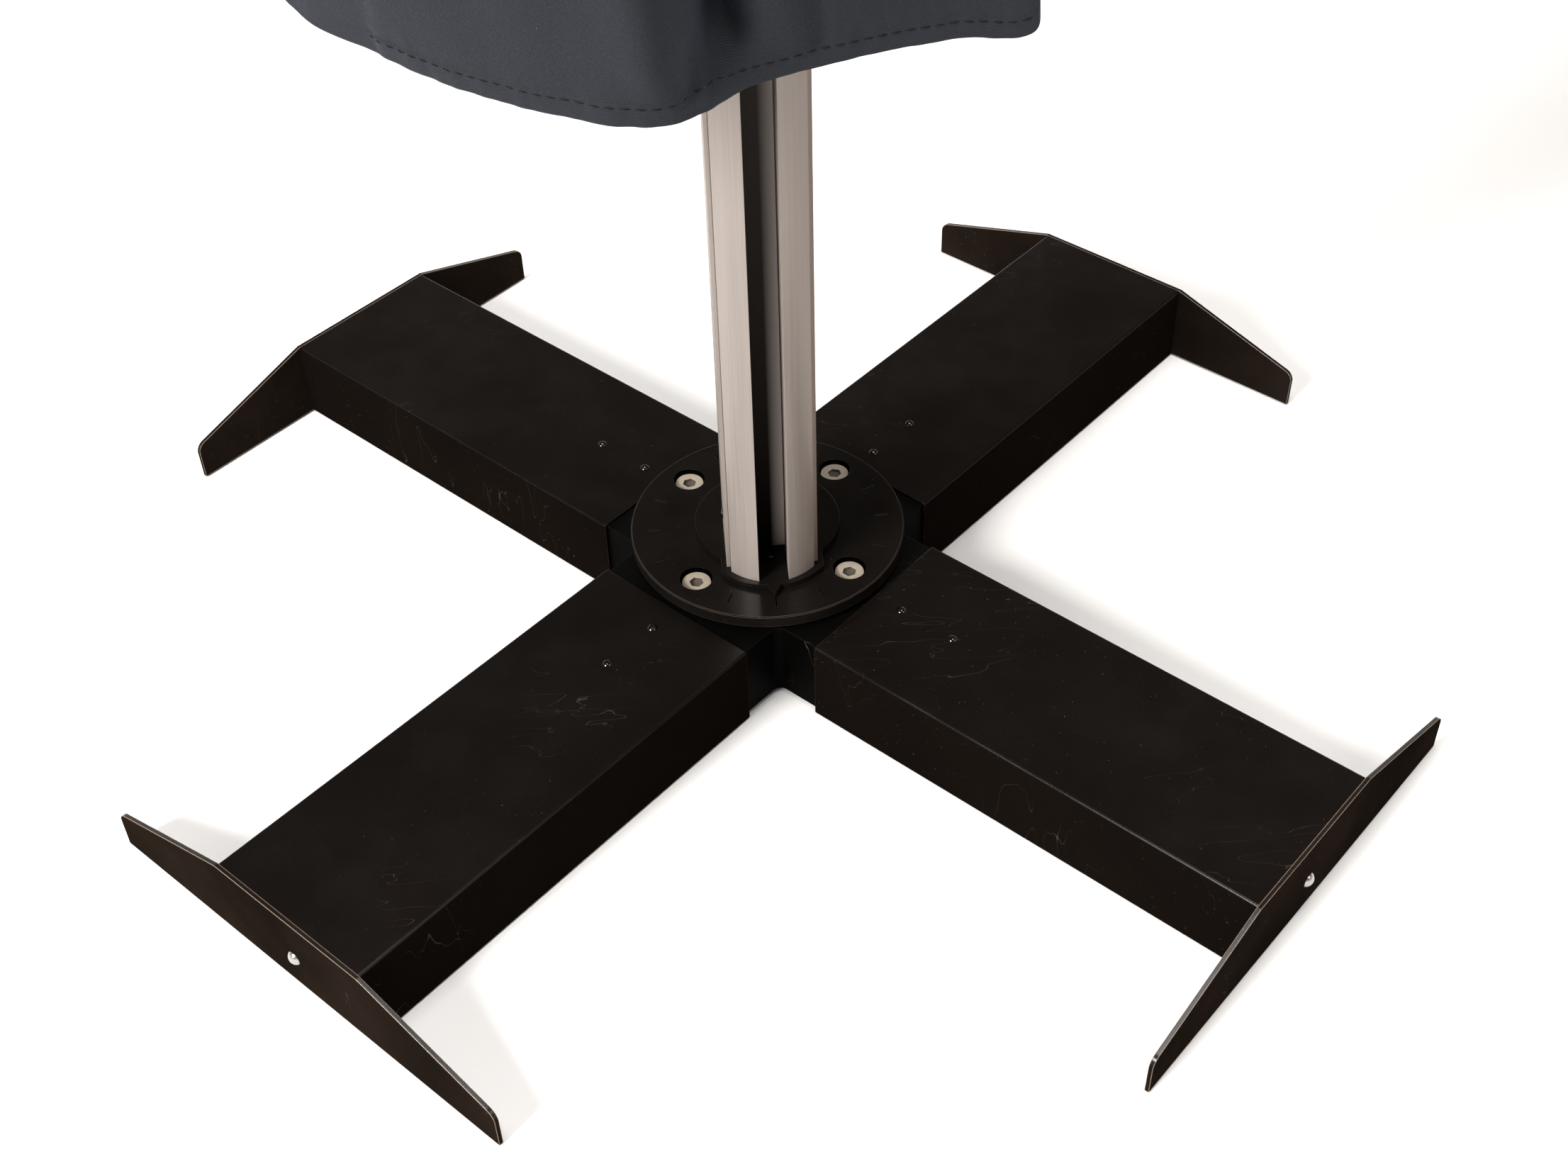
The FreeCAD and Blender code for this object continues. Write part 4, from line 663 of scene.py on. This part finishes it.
def build_stitches():
    """Single row of lockstitch, 12 mm above the hem."""
    points = []
    faces = []
    step = 4
    for start in range(3, AROUND - step, step):
        ends = []
        for i in (start, start + step * 0.72):
            low = int(i)
            part = i - low
            drop = edge_drop(low)
            v = 1.0 - STITCH_HEIGHT / drop
            a = np.array(sheet_point(low, v))
            b = np.array(sheet_point(min(low + 1, AROUND - 1), v))
            ends.append(a + (b - a) * part)
        side = np.array([outward[start][0], outward[start][1], 0.0])
        middle = (ends[0] + ends[1]) / 2 + side * 0.0012
        first = ends[0] + side * 0.0004
        last = ends[1] + side * 0.0004
        base = len(points)
        for centre, size in ((first, 0.00022), (middle, 0.00045), (last, 0.00022)):
            for angle in range(6):
                turned = angle * math.pi / 3
                rise = np.array([0, 0, math.sin(turned) * size])
                points.append(centre + side * math.cos(turned) * size + rise)
        for ring in range(2):
            for angle in range(6):
                after = (angle + 1) % 6
                a = base + ring * 6
                faces.append((a + angle, a + after, a + 6 + after, a + 6 + angle))
        faces.append(tuple(base + angle for angle in reversed(range(6))))
        faces.append(tuple(base + 12 + angle for angle in range(6)))
    return points, faces


def edge_drop(i):
    x, y = edge_line[i]
    return float(top_height(x, y)) - hem_line[i][2]


points, faces = build_stitches()
stitches = add_mesh("hem_stitches", points, faces, thread)
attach(stitches, "post")

# ---------------------------------------------------------------- floor and light

floor = bpy.data.meshes.new("floor")
FLOOR_RADIUS = 3.8
turns = [math.tau * i / FLOOR_SIDES for i in range(FLOOR_SIDES)]
rim = [(FLOOR_RADIUS * math.cos(a), FLOOR_RADIUS * math.sin(a), 0.0) for a in turns]
floor.from_pydata(rim, [], [tuple(range(FLOOR_SIDES))])
floor_item = bpy.data.objects.new("floor", floor)
bpy.context.scene.collection.objects.link(floor_item)
paper = Finish("floor_finish", Roughness=0.9, Specular_IOR_Level=0.05)
paper.shader.inputs["Base Color"].default_value = rgb(0.93, 0.93, 0.93)
floor.materials.append(paper.material)


def area_light(name, place, size, power, colour=(1.0, 0.97, 0.94)):
    light = bpy.data.lights.new(name, "AREA")
    light.shape = "DISK"
    light.size = size
    light.energy = power
    light.color = colour
    item = bpy.data.objects.new(name, light)
    bpy.context.scene.collection.objects.link(item)
    item.location = place
    item.rotation_mode = "QUATERNION"
    item.rotation_quaternion = (Vector((0, 0, 0.4)) - Vector(place)).to_track_quat("-Z", "Y")
    return item


area_light("key", (-4.6, -4.0, 4.4), 2.2, 800.0)
area_light("fill", (4.6, -3.4, 4.6), 3.4, 90.0)
area_light("overhead", (0.0, -0.9, 6.5), 3.6, 380.0)

world = bpy.data.worlds.new("studio")
bpy.context.scene.world = world
world.use_nodes = True
sky = world.node_tree
backdrop = sky.nodes["Background"]
where = sky.nodes.new("ShaderNodeTexCoord")
height = sky.nodes.new("ShaderNodeSeparateXYZ")
ramp = sky.nodes.new("ShaderNodeValToRGB")
sky.links.new(where.outputs["Generated"], height.inputs[0])
sky.links.new(height.outputs["Z"], ramp.inputs[0])
sky.links.new(ramp.outputs["Color"], backdrop.inputs["Color"])
ramp.color_ramp.elements[0].position = 0.16
ramp.color_ramp.elements[0].color = rgb(1.0, 1.0, 1.0)
ramp.color_ramp.elements[1].position = 0.85
ramp.color_ramp.elements[1].color = rgb(0.05, 0.048, 0.045)
mid = ramp.color_ramp.elements.new(0.36)
mid.color = rgb(0.16, 0.13, 0.11)
